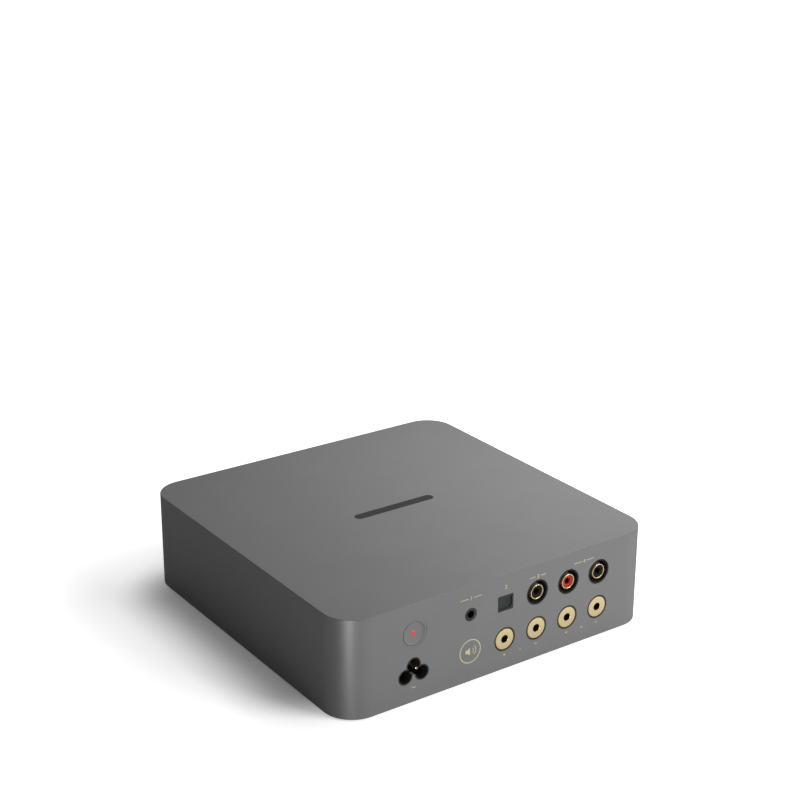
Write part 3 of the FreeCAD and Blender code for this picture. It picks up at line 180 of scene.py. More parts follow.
class Paint(Nodes):
    """One material under construction: a Principled shader and the nodes that feed it."""

    def __init__(self, name: str) -> None:
        """Starts a material with an empty Principled shader.

        Args:
            name: the material's name.
        """
        self.material = bpy.data.materials.new(name)
        self.material.use_nodes = True
        super().__init__(self.material.node_tree)
        self.shader = self.add("ShaderNodeBsdfPrincipled")
        self.add("ShaderNodeOutputMaterial", inputs={"Surface": self.shader.outputs[0]})
        self.place = self.add("ShaderNodeTexCoord").outputs["Object"]

    def centred(self, centre: Sequence[float]) -> bpy.types.NodeSocket:
        """Object coordinates counted from a point on the object."""
        node = self.add(
            "ShaderNodeMapping",
            {"vector_type": "POINT"},
            {"Vector": self.place, "Location": tuple(-c for c in centre)},
        )
        return node.outputs[0]

    def along(self, axis: Axis) -> bpy.types.NodeSocket:
        """The object coordinate along one axis."""
        return self.add("ShaderNodeSeparateXYZ", inputs={0: self.place}).outputs[axis.value]

    def vector(self, operation: str, *inputs: object) -> bpy.types.Node:
        """One Vector Math node on the given inputs."""
        return self.add("ShaderNodeVectorMath", {"operation": operation}, dict(enumerate(inputs)))

    def noise(self, size: float, detail: float = 2.0) -> Number:
        """A cloudy pattern.

        Args:
            size: the size of its blotches in metres.
            detail: how many finer layers it has.

        Returns:
            The pattern, from 0 to 1.
        """
        node = self.add(
            "ShaderNodeTexNoise",
            {"noise_dimensions": "3D"},
            {"Vector": self.place, "Scale": 1 / size, "Detail": detail, "Roughness": 0.6},
        )
        return Number(self, node.outputs[0])

    def marks(
        self, kind: Marks, axis: Axis, pitch: float, wobble: float, centre: Sequence[float] = (0, 0, 0)
    ) -> Number:
        """Fine even marks, as a lathe or a winding leaves them.

        Args:
            kind: rings round the axis, or bands across it.
            axis: the axis.
            pitch: the distance between marks in metres.
            wobble: how uneven they are.
            centre: a point on the axis.

        Returns:
            The pattern, from 0 to 1.
        """
        node = self.add(
            "ShaderNodeTexWave",
            {"wave_type": kind.name, f"{kind.value}_direction": axis.value, "wave_profile": "SIN"},
            {
                "Vector": self.centred(centre),
                "Scale": WAVE_LENGTH / pitch,
                "Distortion": wobble,
                "Detail": 1.0,
            },
        )
        return Number(self, node.outputs["Fac"])

    def between(self, share: object, first: Colour, second: Colour) -> bpy.types.NodeSocket:
        """A colour between two others, by a share from 0 to 1."""
        return self.blended(share, (*first, 1.0), (*second, 1.0))

    def blended(
        self, share: object, first: bpy.types.NodeSocket | tuple, second: bpy.types.NodeSocket | tuple
    ) -> bpy.types.NodeSocket:
        """One colour or pattern that gives way to another.

        Args:
            share: how much of the second shows, from 0 to 1.
            first: a colour with its alpha, or a pattern.
            second: the other one.

        Returns:
            The mixed colour.
        """
        node = self.add("ShaderNodeMix", {"data_type": "RGBA", "clamp_factor": True})
        for number, value in ((0, share), (6, first), (7, second)):
            self.feed(node.inputs[number], value)
        return node.outputs[2]

    def ramp(self, value: bpy.types.NodeSocket, start: float, end: float, ease: Ease = Ease.SOFT) -> Number:
        """A step from 0 at the start to 1 at the end.

        Args:
            value: what is compared with the two ends.
            start: the value up to which the step is 0.
            end: the value from which it is 1.
            ease: how it goes between them.

        Returns:
            The step, from 0 to 1.
        """
        node = self.add(
            "ShaderNodeMapRange",
            {"interpolation_type": ease.value},
            {"Value": value, "From Min": start, "From Max": end},
        )
        return Number(self, node.outputs[0])

    def bump(self, height: object, depth: float) -> None:
        """Raises the surface by a pattern.

        Args:
            height: the pattern, from 0 to 1.
            depth: its full height in metres.
        """
        node = self.add("ShaderNodeBump", inputs={"Height": height, "Distance": depth, "Strength": 1.0})
        self.feed(self.shader.inputs["Normal"], node.outputs[0])

    def set(self, **values: object) -> None:
        """Sets or links the shader's sockets; an underscore stands for a space."""
        for name, value in values.items():
            self.feed(self.shader.inputs[name.replace("_", " ")], value)


def linear(red: int, green: int, blue: int) -> Colour:
    """A screen colour of 0 to 255 as linear light."""
    def one(value: int) -> float:
        """One channel."""
        share = value / 255
        return share / 12.92 if share <= 0.04045 else ((share + 0.055) / 1.055) ** 2.4

    return one(red), one(green), one(blue)


def shaded(colour: Colour, factor: float) -> Colour:
    """The same colour, darker or lighter."""
    return tuple(min(1.0, c * factor) for c in colour)


# Finishes

@dataclass(frozen=True)
class Finish:
    """What every finish has: a name, a colour and the plain values of its shader."""

    name: str
    colour: Colour
    roughness: float = 0.5
    metallic: float = 0.0
    specular: float = 0.5
    coat: float = 0.0

    def make(self) -> bpy.types.Material:
        """Builds the material.

        Returns:
            The material, with this finish's own detail.
        """
        paint = Paint(self.name)
        paint.set(Metallic=self.metallic, Specular_IOR_Level=self.specular, Coat_Weight=self.coat)
        self.dress(paint)
        return paint.material

    def tinted(self, paint: Paint, share: Number, low: float, high: float) -> bpy.types.NodeSocket:
        """The finish's colour, times low to high by a share from 0 to 1."""
        return paint.between(share, shaded(self.colour, low), shaded(self.colour, high))

    def rough(self, pattern: Number, spread: float) -> Number:
        """The roughness, spread evenly about its value by a pattern from 0 to 1."""
        return self.roughness - spread / 2 + spread * pattern

    def dress(self, paint: Paint) -> None:
        """Adds this finish's own detail; each kind has its way."""
        raise NotImplementedError


@dataclass(frozen=True)
class BlastedMetal(Finish):
    """Bead-blasted and anodised aluminium: a fine even grain with a soft cloudiness.

    Where it has a rim_top, the fine rounding that ends at that height has painted shade: its
    colour is darker by rim_dark. rim_fade says where the painted shade begins, is full,
    begins to end and ends, counted down from there in rim_tall.
    """

    grain: float = 0.16 * MM
    depth: float = 0.004 * MM
    cloud: float = 35.0 * MM
    edge: float = 1.0
    rim_top: float | None = None
    rim_tall: float = 0.35 * MM
    rim_fade: tuple[float, float, float, float] = (1.1, 0.85, 0.15, 0.03)
    rim_dark: float = 0.0

    def rim(self, paint: Paint) -> Number:
        """Where the painted shade on the rounding is.

        Args:
            paint: the material.

        Returns:
            1 on the rounding and 0 elsewhere, with soft ends.
        """
        height = paint.along(Axis.Z)
        begin, full, last, end = (self.rim_top - self.rim_tall * share for share in self.rim_fade)
        return paint.ramp(height, begin, full) * (1.0 - paint.ramp(height, last, end))

    def dress(self, paint: Paint) -> None:
        """Grain in the bump and roughness, cloudiness in the colour, and painted shade on the rim.

        Args:
            paint: the material.
        """
        grain = paint.noise(self.grain, 1.0)
        share = 0.6 * paint.noise(self.cloud) + 0.4 * paint.noise(self.grain * 2.5, 1.0)
        low, high = 0.93, 1.07
        colour = self.tinted(paint, share, low, high)
        # Painted shade: the fine top rounding's colour is darkened, so that it shows no bright line.
        if self.rim_top is not None:
            left = 1.0 - self.rim_dark
            darker = self.tinted(paint, share, low * left, high * left)
            colour = paint.blended(self.rim(paint), colour, darker)
        paint.set(
            Base_Color=colour,
            Roughness=self.rough(grain, 0.08),
            Specular_Tint=(self.edge, self.edge, self.edge, 1.0),
        )
        paint.bump(grain, self.depth)


@dataclass(frozen=True)
class TurnedMetal(Finish):
    """Plated or bare metal off a lathe: fine rings round its own axis.

    Behind bright_from along Y the colour is painted shade, dark, dull and not metallic, for the shade deep
    in a bore.
    """

    centre: tuple[float, float, float] = (0.0, 0.0, 0.0)
    axis: Axis = Axis.Y
    pitch: float = 0.28 * MM
    depth: float = 0.002 * MM
    cloud: float = 4.0 * MM
    bright_from: float = -1.0
    plating_edge: float = 0.12 * MM
    dull: float = 0.04

    def dress(self, paint: Paint) -> None:
        """Rings in the bump and a little in the colour, a faint tarnish, and painted shade deep in.

        Args:
            paint: the material.
        """
        rings = paint.marks(Marks.RINGS, self.axis, self.pitch, 0.6, self.centre)
        tarnish = paint.noise(self.cloud)
        # Painted shade: behind bright_from the colour darkens and stops being metallic.
        full_shade_at = self.bright_from - self.plating_edge
        out_of_shade = paint.ramp(paint.along(Axis.Y), full_shade_at, self.bright_from, Ease.STRAIGHT)
        plating = self.tinted(paint, 0.5 * rings + 0.5 * tarnish, 0.9, 1.08)
        paint.set(
            Base_Color=paint.blended(out_of_shade, (*shaded(self.colour, self.dull), 1.0), plating),
            Roughness=self.rough(tarnish, 0.1),
            Metallic=self.metallic * out_of_shade,
        )
        paint.bump(rings, self.depth)


@dataclass(frozen=True)
class MouldedPlastic(Finish):
    """Moulded plastic with a fine spark-eroded skin."""

    specular: float = 0.3
    skin: float = 0.35 * MM
    depth: float = 0.006 * MM
    cloud: float = 6.0 * MM

    def dress(self, paint: Paint) -> None:
        """A fine skin in the bump, and slow changes in colour and gloss.

        Args:
            paint: the material.
        """
        slow = paint.noise(self.cloud)
        paint.set(Base_Color=self.tinted(paint, slow, 0.88, 1.12), Roughness=self.rough(slow, 0.12))
        paint.bump(paint.noise(self.skin), self.depth)


@dataclass(frozen=True)
class Rubber(Finish):
    """Soft matt rubber with a dusty, pebbled skin."""

    pebble: float = 0.6 * MM
    depth: float = 0.03 * MM
    dust: float = 3.0 * MM

    def dress(self, paint: Paint) -> None:
        """Pebbles in the bump and pale dust in the colour.

        Args:
            paint: the material.
        """
        dust = paint.noise(self.dust, 3.0)
        paint.set(Base_Color=self.tinted(paint, dust, 0.8, 1.5), Roughness=self.rough(dust, 0.1))
        paint.bump(paint.noise(self.pebble, 3.0), self.depth)


@dataclass(frozen=True)
class GlossPlastic(Finish):
    """Polished plastic under a clear coat, with faint handling marks in its gloss."""

    coat: float = 0.6
    cloud: float = 12.0 * MM
    mark: float = 3.0 * MM

    def dress(self, paint: Paint) -> None:
        """Handling marks change the roughness a little."""
        paint.set(
            Base_Color=self.tinted(paint, paint.noise(self.cloud, 1.0), 0.9, 1.1),
            Roughness=self.roughness + 0.05 * paint.noise(self.mark, 3.0),
            Coat_Roughness=0.05,
        )


@dataclass(frozen=True)
class Ink(Finish):
    """Screen-printed ink, a little uneven where the screen left it thin."""

    patch: float = 0.4 * MM
    depth: float = 0.004 * MM

    def dress(self, paint: Paint) -> None:
        """Thin and thick places in the colour and the bump.

        Args:
            paint: the material.
        """
        thin = paint.noise(self.patch)
        paint.set(Base_Color=self.tinted(paint, thin, 0.88, 1.08), Roughness=self.roughness)
        paint.bump(thin, self.depth)


@dataclass(frozen=True)
class Lens(Finish):
    """A small lit lens: clear over a coloured body that glows slightly."""

    coat: float = 0.5
    cloud: float = 1.2 * MM
    glow: float = 0.0

    def dress(self, paint: Paint) -> None:
        """A cloudy body under a clear coat, with a little light of its own."""
        tint = self.tinted(paint, paint.noise(self.cloud), 0.88, 1.1)
        paint.set(
            Base_Color=tint, Roughness=self.roughness, Emission_Color=tint, Emission_Strength=self.glow
        )


@dataclass(frozen=True)
class Board(Finish):
    """A printed board: solder mask over faint tracks."""

    coat: float = 0.3
    track: Colour = (0.05, 0.16, 0.06)
    depth: float = 0.03 * MM
    cloud: float = 10.0 * MM

    def dress(self, paint: Paint) -> None:
        """Tracks as a brick pattern under a cloudy mask.

        Args:
            paint: the material.
        """
        sizes = {"Scale": 160.0, "Mortar Size": 0.03, "Brick Width": 0.9, "Row Height": 0.3}
        brick = paint.add(
            "ShaderNodeTexBrick", {"offset": 0.35, "squash": 1.6}, {"Vector": paint.place, **sizes}
        )
        tracks = Number(paint, brick.outputs["Fac"])
        share = 0.75 * tracks + 0.25 * paint.noise(self.cloud)
        paint.set(Base_Color=paint.between(share, self.colour, self.track), Roughness=self.roughness)
        paint.bump(tracks, self.depth)


@dataclass(frozen=True)
class Wound(Finish):
    """Enamelled wire in close turns, or a sleeve drawn tight: bands along one axis."""

    axis: Axis = Axis.Z
    pitch: float = 0.6 * MM
    cloud: float = 4.0 * MM

    def dress(self, paint: Paint) -> None:
        """Bands in the colour and the bump.

        Args:
            paint: the material.
        """
        bands = paint.marks(Marks.BANDS, self.axis, self.pitch, 0.4)
        share = 0.6 * bands + 0.4 * paint.noise(self.cloud)
        paint.set(Base_Color=self.tinted(paint, share, 0.75, 1.15), Roughness=self.roughness)
        paint.bump(bands, self.pitch * 0.2)


# Modelling

class Facing(Enum):
    """Where a piece that is built upright points when it is in place."""

    REAR = (math.pi / 2, 0.0, math.pi)
    FRONT = (math.pi / 2, 0.0, 0.0)
    UP = (0.0, 0.0, 0.0)
    DOWN = (math.pi, 0.0, 0.0)


class Picking(Enum):
    """What is picked in edit mode."""

    POINTS = "VERT"
    EDGES = "EDGE"
    FACES = "FACE"


class Join(Enum):
    """What one piece does to another that it meets."""

    CUTS = "DIFFERENCE"
    ADDS = "UNION"


def rest() -> None:
    """Leaves edit mode and deselects everything."""
    if bpy.context.object and bpy.context.object.mode != "OBJECT":
        bpy.ops.object.mode_set(mode="OBJECT")
    bpy.ops.object.select_all(action="DESELECT")


def choose(piece: bpy.types.Object) -> None:
    """Makes a piece the only selected and the active one.

    Args:
        piece: the piece.
    """
    rest()
    piece.select_set(True)
    bpy.context.view_layer.objects.active = piece


def edit(piece: bpy.types.Object, picking: Picking = Picking.POINTS) -> None:
    """Opens a piece in edit mode with nothing selected.

    Args:
        piece: the piece.
        picking: what is picked in it next.
    """
    choose(piece)
    bpy.ops.object.mode_set(mode="EDIT")
    bpy.ops.mesh.select_mode(type=picking.value)
    bpy.ops.mesh.select_all(action="DESELECT")


def pick_faces(piece: bpy.types.Object, test: Callable[[bpy.types.MeshPolygon], bool]) -> None:
    """Selects the faces that pass a test, and opens the piece to edit them.

    Args:
        piece: the piece.
        test: is given each face and says whether it is wanted.
    """
    edit(piece, Picking.FACES)
    bpy.ops.object.mode_set(mode="OBJECT")
    for face in piece.data.polygons:
        face.select = test(face)
    bpy.ops.object.mode_set(mode="EDIT")


def pick_edges(piece: bpy.types.Object, test: Callable[[Vector, Vector], bool]) -> None:
    """Selects the edges that pass a test, and opens the piece to edit them.

    Args:
        piece: the piece.
        test: is given each edge's two ends and says whether it is wanted.
    """
    edit(piece, Picking.EDGES)
    bpy.ops.object.mode_set(mode="OBJECT")
    points = piece.data.vertices
    for line in piece.data.edges:
        line.select = test(points[line.vertices[0]].co, points[line.vertices[1]].co)
    bpy.ops.object.mode_set(mode="EDIT")


def name_it(name: str) -> bpy.types.Object:
    """Names the active object and its mesh.

    Args:
        name: the name for both.

    Returns:
        The object.
    """
    piece = bpy.context.object
    piece.name = name
    piece.data.name = name
    return piece


def apply_modifier(piece: bpy.types.Object, kind: str, **settings: object) -> None:
    """Adds a modifier and applies it.

    Args:
        piece: the piece.
        kind: the modifier's type.
        settings: its properties.
    """
    choose(piece)
    modifier = piece.modifiers.new(kind.title(), kind)
    for name, value in settings.items():
        setattr(modifier, name, value)
    bpy.ops.object.modifier_apply(modifier=modifier.name)


def soften(piece: bpy.types.Object, width: float) -> None:
    """Rounds a piece's sharp edges."""
    apply_modifier(piece, "BEVEL", width=width, segments=2, limit_method="ANGLE", angle_limit=ROUND_ABOVE)


def shade(piece: bpy.types.Object) -> None:
    """Shades a piece smooth except at its sharp edges."""
    choose(piece)
    bpy.ops.object.shade_smooth_by_angle(angle=SMOOTH_BELOW)


def outward(piece: bpy.types.Object) -> None:
    """Merges doubled points and turns the faces of a closed piece outward.

    Args:
        piece: the piece.
    """
    edit(piece)
    bpy.ops.mesh.select_all(action="SELECT")
    bpy.ops.mesh.remove_doubles(threshold=MERGE_WITHIN)
    bpy.ops.mesh.normals_make_consistent(inside=False)
    rest()


def applied(piece: bpy.types.Object) -> bpy.types.Object:
    """Writes a piece's place, turn and scale into its mesh.

    Args:
        piece: the piece.

    Returns:
        The piece, now at the origin, unturned and unscaled.
    """
    choose(piece)
    bpy.ops.object.transform_apply(location=True, rotation=True, scale=True)
    return piece


def stand(
    piece: bpy.types.Object, place: Sequence[float], facing: Facing = Facing.UP
) -> bpy.types.Object:
    """Moves an upright piece to its place and writes that into its mesh.

    Args:
        piece: a piece built round the origin, pointing up.
        place: where its origin goes.
        facing: where it points.

    Returns:
        The piece.
    """
    piece.rotation_euler = facing.value
    piece.location = place
    return applied(piece)


def copied(piece: bpy.types.Object, name: str, shift: Sequence[float]) -> bpy.types.Object:
    """Another one of the same piece, with its own mesh.

    Args:
        piece: the first one, in place.
        name: the new one's name.
        shift: how far it is from the first.

    Returns:
        The new one.
    """
    choose(piece)
    bpy.ops.object.duplicate(linked=False)
    return stand(name_it(name), shift)


def repeated(
    piece: bpy.types.Object, stem: str, shifts: Sequence[Sequence[float]]
) -> list[bpy.types.Object]:
    """A piece and its copies, numbered from 2.

    Args:
        piece: the first one, in place.
        stem: their name without its number.
        shifts: how far each copy is from the first.

    Returns:
        All of them, the first one first.
    """
    return [piece] + [copied(piece, f"{stem}_{n}", shift) for n, shift in enumerate(shifts, start=2)]


def turned(name: str, rings: Sequence[Ring], sides: int = 96, closed: bool = False) -> bpy.types.Object:
    """A round piece built ring by ring about the Z axis.

    Args:
        name: the piece's name.
        rings: radius and height of each ring, in metres, along the outline.
        sides: how many sides each ring has.
        closed: whether the last ring meets the first; otherwise both ends get a face.

    Returns:
        The piece, upright at the origin.
    """
    rest()
    radius, height = rings[0]
    bpy.ops.mesh.primitive_circle_add(
        vertices=sides, radius=radius, location=(0, 0, height), fill_type="NOTHING" if closed else "NGON"
    )
    piece = applied(name_it(name))
    edit(piece)
    bpy.ops.mesh.select_all(action="SELECT")
    path = list(rings[1:]) + ([rings[0]] if closed else [])
    for next_radius, next_height in path:
        bpy.ops.mesh.extrude_edges_move(TRANSFORM_OT_translate={"value": (0, 0, next_height - height)})
        if abs(next_radius - radius) > MERGE_WITHIN:
            grow = next_radius / radius
            bpy.ops.transform.resize(value=(grow, grow, 1), center_override=(0, 0, next_height))
        radius, height = next_radius, next_height
    if not closed:
        bpy.ops.mesh.edge_face_add()
    outward(piece)
    return piece


def lathed(
    name: str,
    rings: Sequence[Ring],
    place: Sequence[float],
    facing: Facing = Facing.REAR,
    sides: int = 96,
    closed: bool = False,
) -> bpy.types.Object:
    """A round piece, put in its place and shaded.

    Args:
        name: the piece's name.
        rings: radius and height of each ring, in metres, along the outline.
        place: where its origin goes.
        facing: where it points.
        sides: how many sides each ring has.
        closed: whether the last ring meets the first.

    Returns:
        The piece.
    """
    piece = stand(turned(name, rings, sides, closed), place, facing)
    shade(piece)
    return piece


def slab(name: str, wide: float, deep: float, tall: float) -> bpy.types.Object:
    """A box centred on the origin.

    Args:
        name: the piece's name.
        wide: its size along X.
        deep: its size along Y.
        tall: its size along Z.

    Returns:
        The piece.
    """
    rest()
    bpy.ops.mesh.primitive_cube_add(size=1.0)
    piece = name_it(name)
    piece.scale = (wide, deep, tall)
    return applied(piece)


def combined(piece: bpy.types.Object, join: Join, tool: bpy.types.Object) -> None:
    """Cuts a piece with another or adds that one to it, which is used up."""
    apply_modifier(piece, "BOOLEAN", operation=join.value, solver="EXACT", object=tool)
    bpy.data.objects.remove(tool)


def joined(name: str, pieces: Sequence[bpy.types.Object]) -> bpy.types.Object:
    """Several pieces as one.

    Args:
        name: its name.
        pieces: the pieces, which are used up.

    Returns:
        The one piece.
    """
    choose(pieces[0])
    for piece in pieces[1:]:
        piece.select_set(True)
    bpy.ops.object.join()
    return name_it(name)


def dressed(mesh: bpy.types.Mesh, material: bpy.types.Material) -> None:
    """Gives a mesh its only material."""
    mesh.materials.clear()
    mesh.materials.append(material)


def mounted(
    piece: bpy.types.Object,
    material: bpy.types.Material,
    body: str = "chassis",
    stands_for: Iterable[str] = (),
) -> None:
    """Finishes a new piece: its material, the body it rides on and the node it stands for.

    Args:
        piece: the piece, in place.
        material: its material.
        body: the body that carries it.
        stands_for: the nodes that it replaces.
    """
    dressed(piece.data, material)
    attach(piece, body)
    if stands_for:
        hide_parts(*stands_for)
    LOG.info("%s: %d faces on %s", piece.name, len(piece.data.polygons), body)


def middle(node: str) -> Vector:
    """The middle of a node's box."""
    low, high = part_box(node)
    return (low + high) / 2


def rear_face() -> float:
    """Where the outer rear face is along Y."""
    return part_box("case_shell")[1].y


# Finishes of this amplifier

GOLD = linear(188, 171, 131)
GREY = linear(126, 126, 126)

CASE = BlastedMetal(
    "case_anodised",
    GREY,
    0.4,
    0.15,
    specular=0.0,
    edge=0.3,
    # The top rounding gets painted shade: its colour is 22% darker than the rest of the case.
    rim_top=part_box("case_shell")[1].z,
    rim_dark=0.22,
)
BUTTON = BlastedMetal("button_anodised", GREY, 0.42, 0.15, grain=0.12 * MM, specular=0.0, edge=0.3)
PLATE = BlastedMetal("plate_powder_coat", linear(44, 45, 46), 0.62, 0.0, grain=0.5 * MM, depth=0.02 * MM)
SOCKET = MouldedPlastic("socket_black", linear(36, 36, 35), 0.5, specular=0.08)
BEZEL = MouldedPlastic("bezel_olive", linear(52, 50, 41), 0.5, specular=0.15)
SHUTTER = MouldedPlastic("shutter_grey", linear(56, 59, 59), 0.5, specular=0.05)
FLAP = MouldedPlastic("flap_grey", linear(54, 58, 58), 0.5, specular=0.05)
RED = MouldedPlastic("insulator_red", linear(170, 34, 32), 0.4, specular=0.2)
DARK = MouldedPlastic("insulator_dark", linear(26, 26, 25), 0.5, specular=0.04)
INLAY = GlossPlastic("inlay_black", linear(24, 24, 25), 0.3, coat=0.0, specular=0.08)
RUBBER = Rubber("foot_rubber", linear(30, 30, 31), 0.82)
PRINT = Ink("print_pale_gold", linear(206, 198, 150), 0.55)
DOT = Lens("dot_red", linear(208, 44, 38), 0.4, glow=0.06, coat=0.15)
LIGHT = Lens("light_clear", linear(214, 216, 214), 0.25)
SCREW = BlastedMetal("screw_black", linear(38, 38, 39), 0.4, 0.6, grain=0.2 * MM)


# Sub-assemblies

@dataclass
class SpeakerSockets:
    """Four sockets for banana plugs with gold plating, each in an insulating bezel."""

    names: tuple[str, ...] = ("left_plus", "left_minus", "right_plus", "right_minus")
    ring: float = 5.8 * MM
    ring_thick: float = 2.0 * MM
    neck: float = 3.6 * MM
    mouth: float = 2.2 * MM
    bore: float = 2.05 * MM
    bore_deep: float = 19.0 * MM
    body_deep: float = 22.0 * MM
    edge: float = 0.32 * MM
    bezel: float = 6.7 * MM
    flange: float = 8.0 * MM
    flange_start: float = 3.1 * MM
    flange_thick: float = 2.0 * MM
    bezel_back: float = 6.2 * MM
    play: float = 0.05 * MM
    plated_deep: float = 0.12 * MM

    def contact_outline(self) -> list[Ring]:
        """The turned contact, from its back, over its rounded face, to the bottom of its bore."""
        return [
            (self.neck, -self.body_deep),
            (self.neck, -self.ring_thick),
            (self.ring, -self.ring_thick),
            (self.ring, -self.edge),
            (self.ring - self.edge * 0.3, -self.edge * 0.3),
            (self.ring - self.edge, 0.0),
            (self.mouth + self.edge * 0.3, 0.0),
            (self.mouth, -self.edge * 0.3),
            (self.mouth - self.edge * 0.2, -self.edge * 2),
            (self.bore, -self.edge * 3),
            (self.bore, -self.bore_deep),
        ]

    def bezel_outline(self) -> list[Ring]:
        """The bezel's section: a thin lip on the face, a flange behind the wall and a sleeve.

        Returns:
            The radius and height of each ring.
        """
        inner = self.ring + self.play
        flange_end = self.flange_start + self.flange_thick
        seat = self.ring_thick + self.play
        return [
            (inner, -seat),
            (inner, -self.play * 2),
            (inner + self.play * 2, 0.0),
            (self.bezel - self.play * 3, 0.0),
            (self.bezel, -self.play * 3),
            (self.bezel, -self.flange_start),
            (self.flange, -self.flange_start),
            (self.flange, -flange_end),
            (self.bezel_back, -flange_end),
            (self.bezel_back, -self.body_deep),
            (self.neck + self.play, -self.body_deep),
            (self.neck + self.play, -seat),
        ]

    def build(self) -> None:
        """Makes one socket and copies it to the other three places."""
        bezel_paint = BEZEL.make()
        first = middle(f"speaker_{self.names[0]}_contact")
        place = (first.x, rear_face(), first.z)
        contact = lathed(f"speaker_{self.names[0]}_socket", self.contact_outline(), place)
        bezel = lathed("speaker_bezel_1", self.bezel_outline(), place, closed=True)
        pairs = [(contact, bezel)]
        for number, name in enumerate(self.names[1:], start=2):
            shift = middle(f"speaker_{name}_contact") - first
            pairs.append(
                (
                    copied(contact, f"speaker_{name}_socket", shift),
                    copied(bezel, f"speaker_bezel_{number}", shift),
                )
            )
        for name, (contact, bezel) in zip(self.names, pairs):
            node = f"speaker_{name}_contact"
            plating = TurnedMetal(
                f"gold_{name}",
                GOLD,
                0.34,
                0.6,
                specular=0.02,
                centre=tuple(middle(node)),
                depth=0.004 * MM,
                # The bore is painted shade from plated_deep behind the face.
                bright_from=rear_face() - self.plated_deep,
            )
            mounted(contact, plating.make(), stands_for=[node])
            mounted(bezel, bezel_paint, stands_for=["speaker_bezels"])


@dataclass
class PhonoSockets:
    """Three phono sockets: a sunk black collar, the plated shell and a coloured insulator."""

    names: tuple[str, ...] = ("coaxial", "line_right", "line_left")
    red_one: str = "line_right"
    collar: float = 7.0 * MM
    cup: float = 6.2 * MM
    cup_deep: float = 9.5 * MM
    collar_floor: float = 2.0 * MM
    collar_back: float = 6.4 * MM
    flange: float = 8.0 * MM
    flange_start: float = 3.1 * MM
    flange_thick: float = 2.0 * MM
    shell: float = 4.15 * MM
    shell_wall: float = 0.55 * MM
    shell_sunk: float = 0.2 * MM
    insulator_sunk: float = 0.8 * MM
    hole: float = 1.65 * MM
    sleeve: float = 2.05 * MM
    body_deep: float = 22.0 * MM
    play: float = 0.05 * MM
    plated_deep: float = 4.0 * MM

    def collar_outline(self) -> list[Ring]:
        """The collar's section: a rounded lip, the cup round the shell, a flange and a sleeve.

        Returns:
            The radius and height of each ring.
        """
        flange_end = self.flange_start + self.flange_thick
        floor_end = self.cup_deep + self.collar_floor
        lip = self.play * 2.5
        return [
            (self.shell + self.play, -self.cup_deep),
            (self.cup - lip * 2, -self.cup_deep),
            (self.cup, -self.cup_deep + lip * 2),
            (self.cup, -lip),
            (self.cup + lip, 0.0),
            (self.collar - lip, 0.0),
            (self.collar, -lip),
            (self.collar, -self.flange_start),
            (self.flange, -self.flange_start),
            (self.flange, -flange_end),
            (self.collar, -flange_end),
            (self.collar, -floor_end),
            (self.collar_back, -floor_end),
            (self.collar_back, -self.body_deep),
            (self.shell + self.play, -self.body_deep),
        ]

    def shell_outline(self) -> list[Ring]:
        """The shell's section: a tube with a rounded lip.

        Returns:
            The radius and height of each ring.
        """
        inner = self.shell - self.shell_wall
        top = -self.shell_sunk
        lip = self.shell_wall / 3
        return [
            (self.shell, -self.body_deep),
            (self.shell, top - lip * 1.5),
            (self.shell - lip * 0.4, top - lip * 0.4),
            (self.shell - lip, top),
            (inner + lip, top),
            (inner + lip * 0.4, top - lip * 0.4),
            (inner, top - lip * 1.5),
            (inner, -self.body_deep),
        ]

    def insulator_outline(self) -> list[Ring]:
        """The insulator's section: a flat face, a funnel to the hole and a clear bore behind it.

        Returns:
            The radius and height of each ring.
        """
        outer = self.shell - self.shell_wall - self.play
        top = -self.insulator_sunk
        lip = self.play * 3
        return [
            (outer, -self.body_deep),
            (outer, top - lip),
            (outer - lip, top),
            (self.hole + lip * 4, top),
            (self.hole + lip * 1.6, top - lip),
            (self.hole, top - lip * 4),
            (self.hole, top - lip * 8),
            (self.sleeve, top - lip * 8),
            (self.sleeve, -self.body_deep),
        ]

    def build(self) -> None:
        """Makes one socket and copies it to the other two places."""
        black = SOCKET.make()
        red = RED.make()
        dark = DARK.make()
        first = middle(f"{self.names[0]}_collar")
        place = (first.x, rear_face(), first.z)
        outlines = {
            "cup": self.collar_outline(),
            "sleeve": self.shell_outline(),
            "core": self.insulator_outline(),
        }
        originals = {
            part: lathed(f"{self.names[0]}_{part}", outline, place, closed=True)
            for part, outline in outlines.items()
        }
        sets = {self.names[0]: originals}
        for name in self.names[1:]:
            shift = middle(f"{name}_collar") - first
            sets[name] = {
                part: copied(piece, f"{name}_{part}", shift) for part, piece in originals.items()
            }
        for name, pieces in sets.items():
            gold = TurnedMetal(
                f"gold_{name}",
                GOLD,
                0.3,
                0.7,
                specular=0.02,
                centre=tuple(middle(f"{name}_shell")),
                # The shell is painted shade from plated_deep behind the face.
                bright_from=rear_face() - self.plated_deep,
            )
            mounted(pieces["cup"], black, stands_for=[f"{name}_collar"])
            mounted(pieces["sleeve"], gold.make(), stands_for=[f"{name}_shell"])
            insulator, slot = (red, "insulator_red") if name == self.red_one else (dark, "insulator_black")
            mounted(pieces["core"], insulator, stands_for=[f"{name}_insulator"])


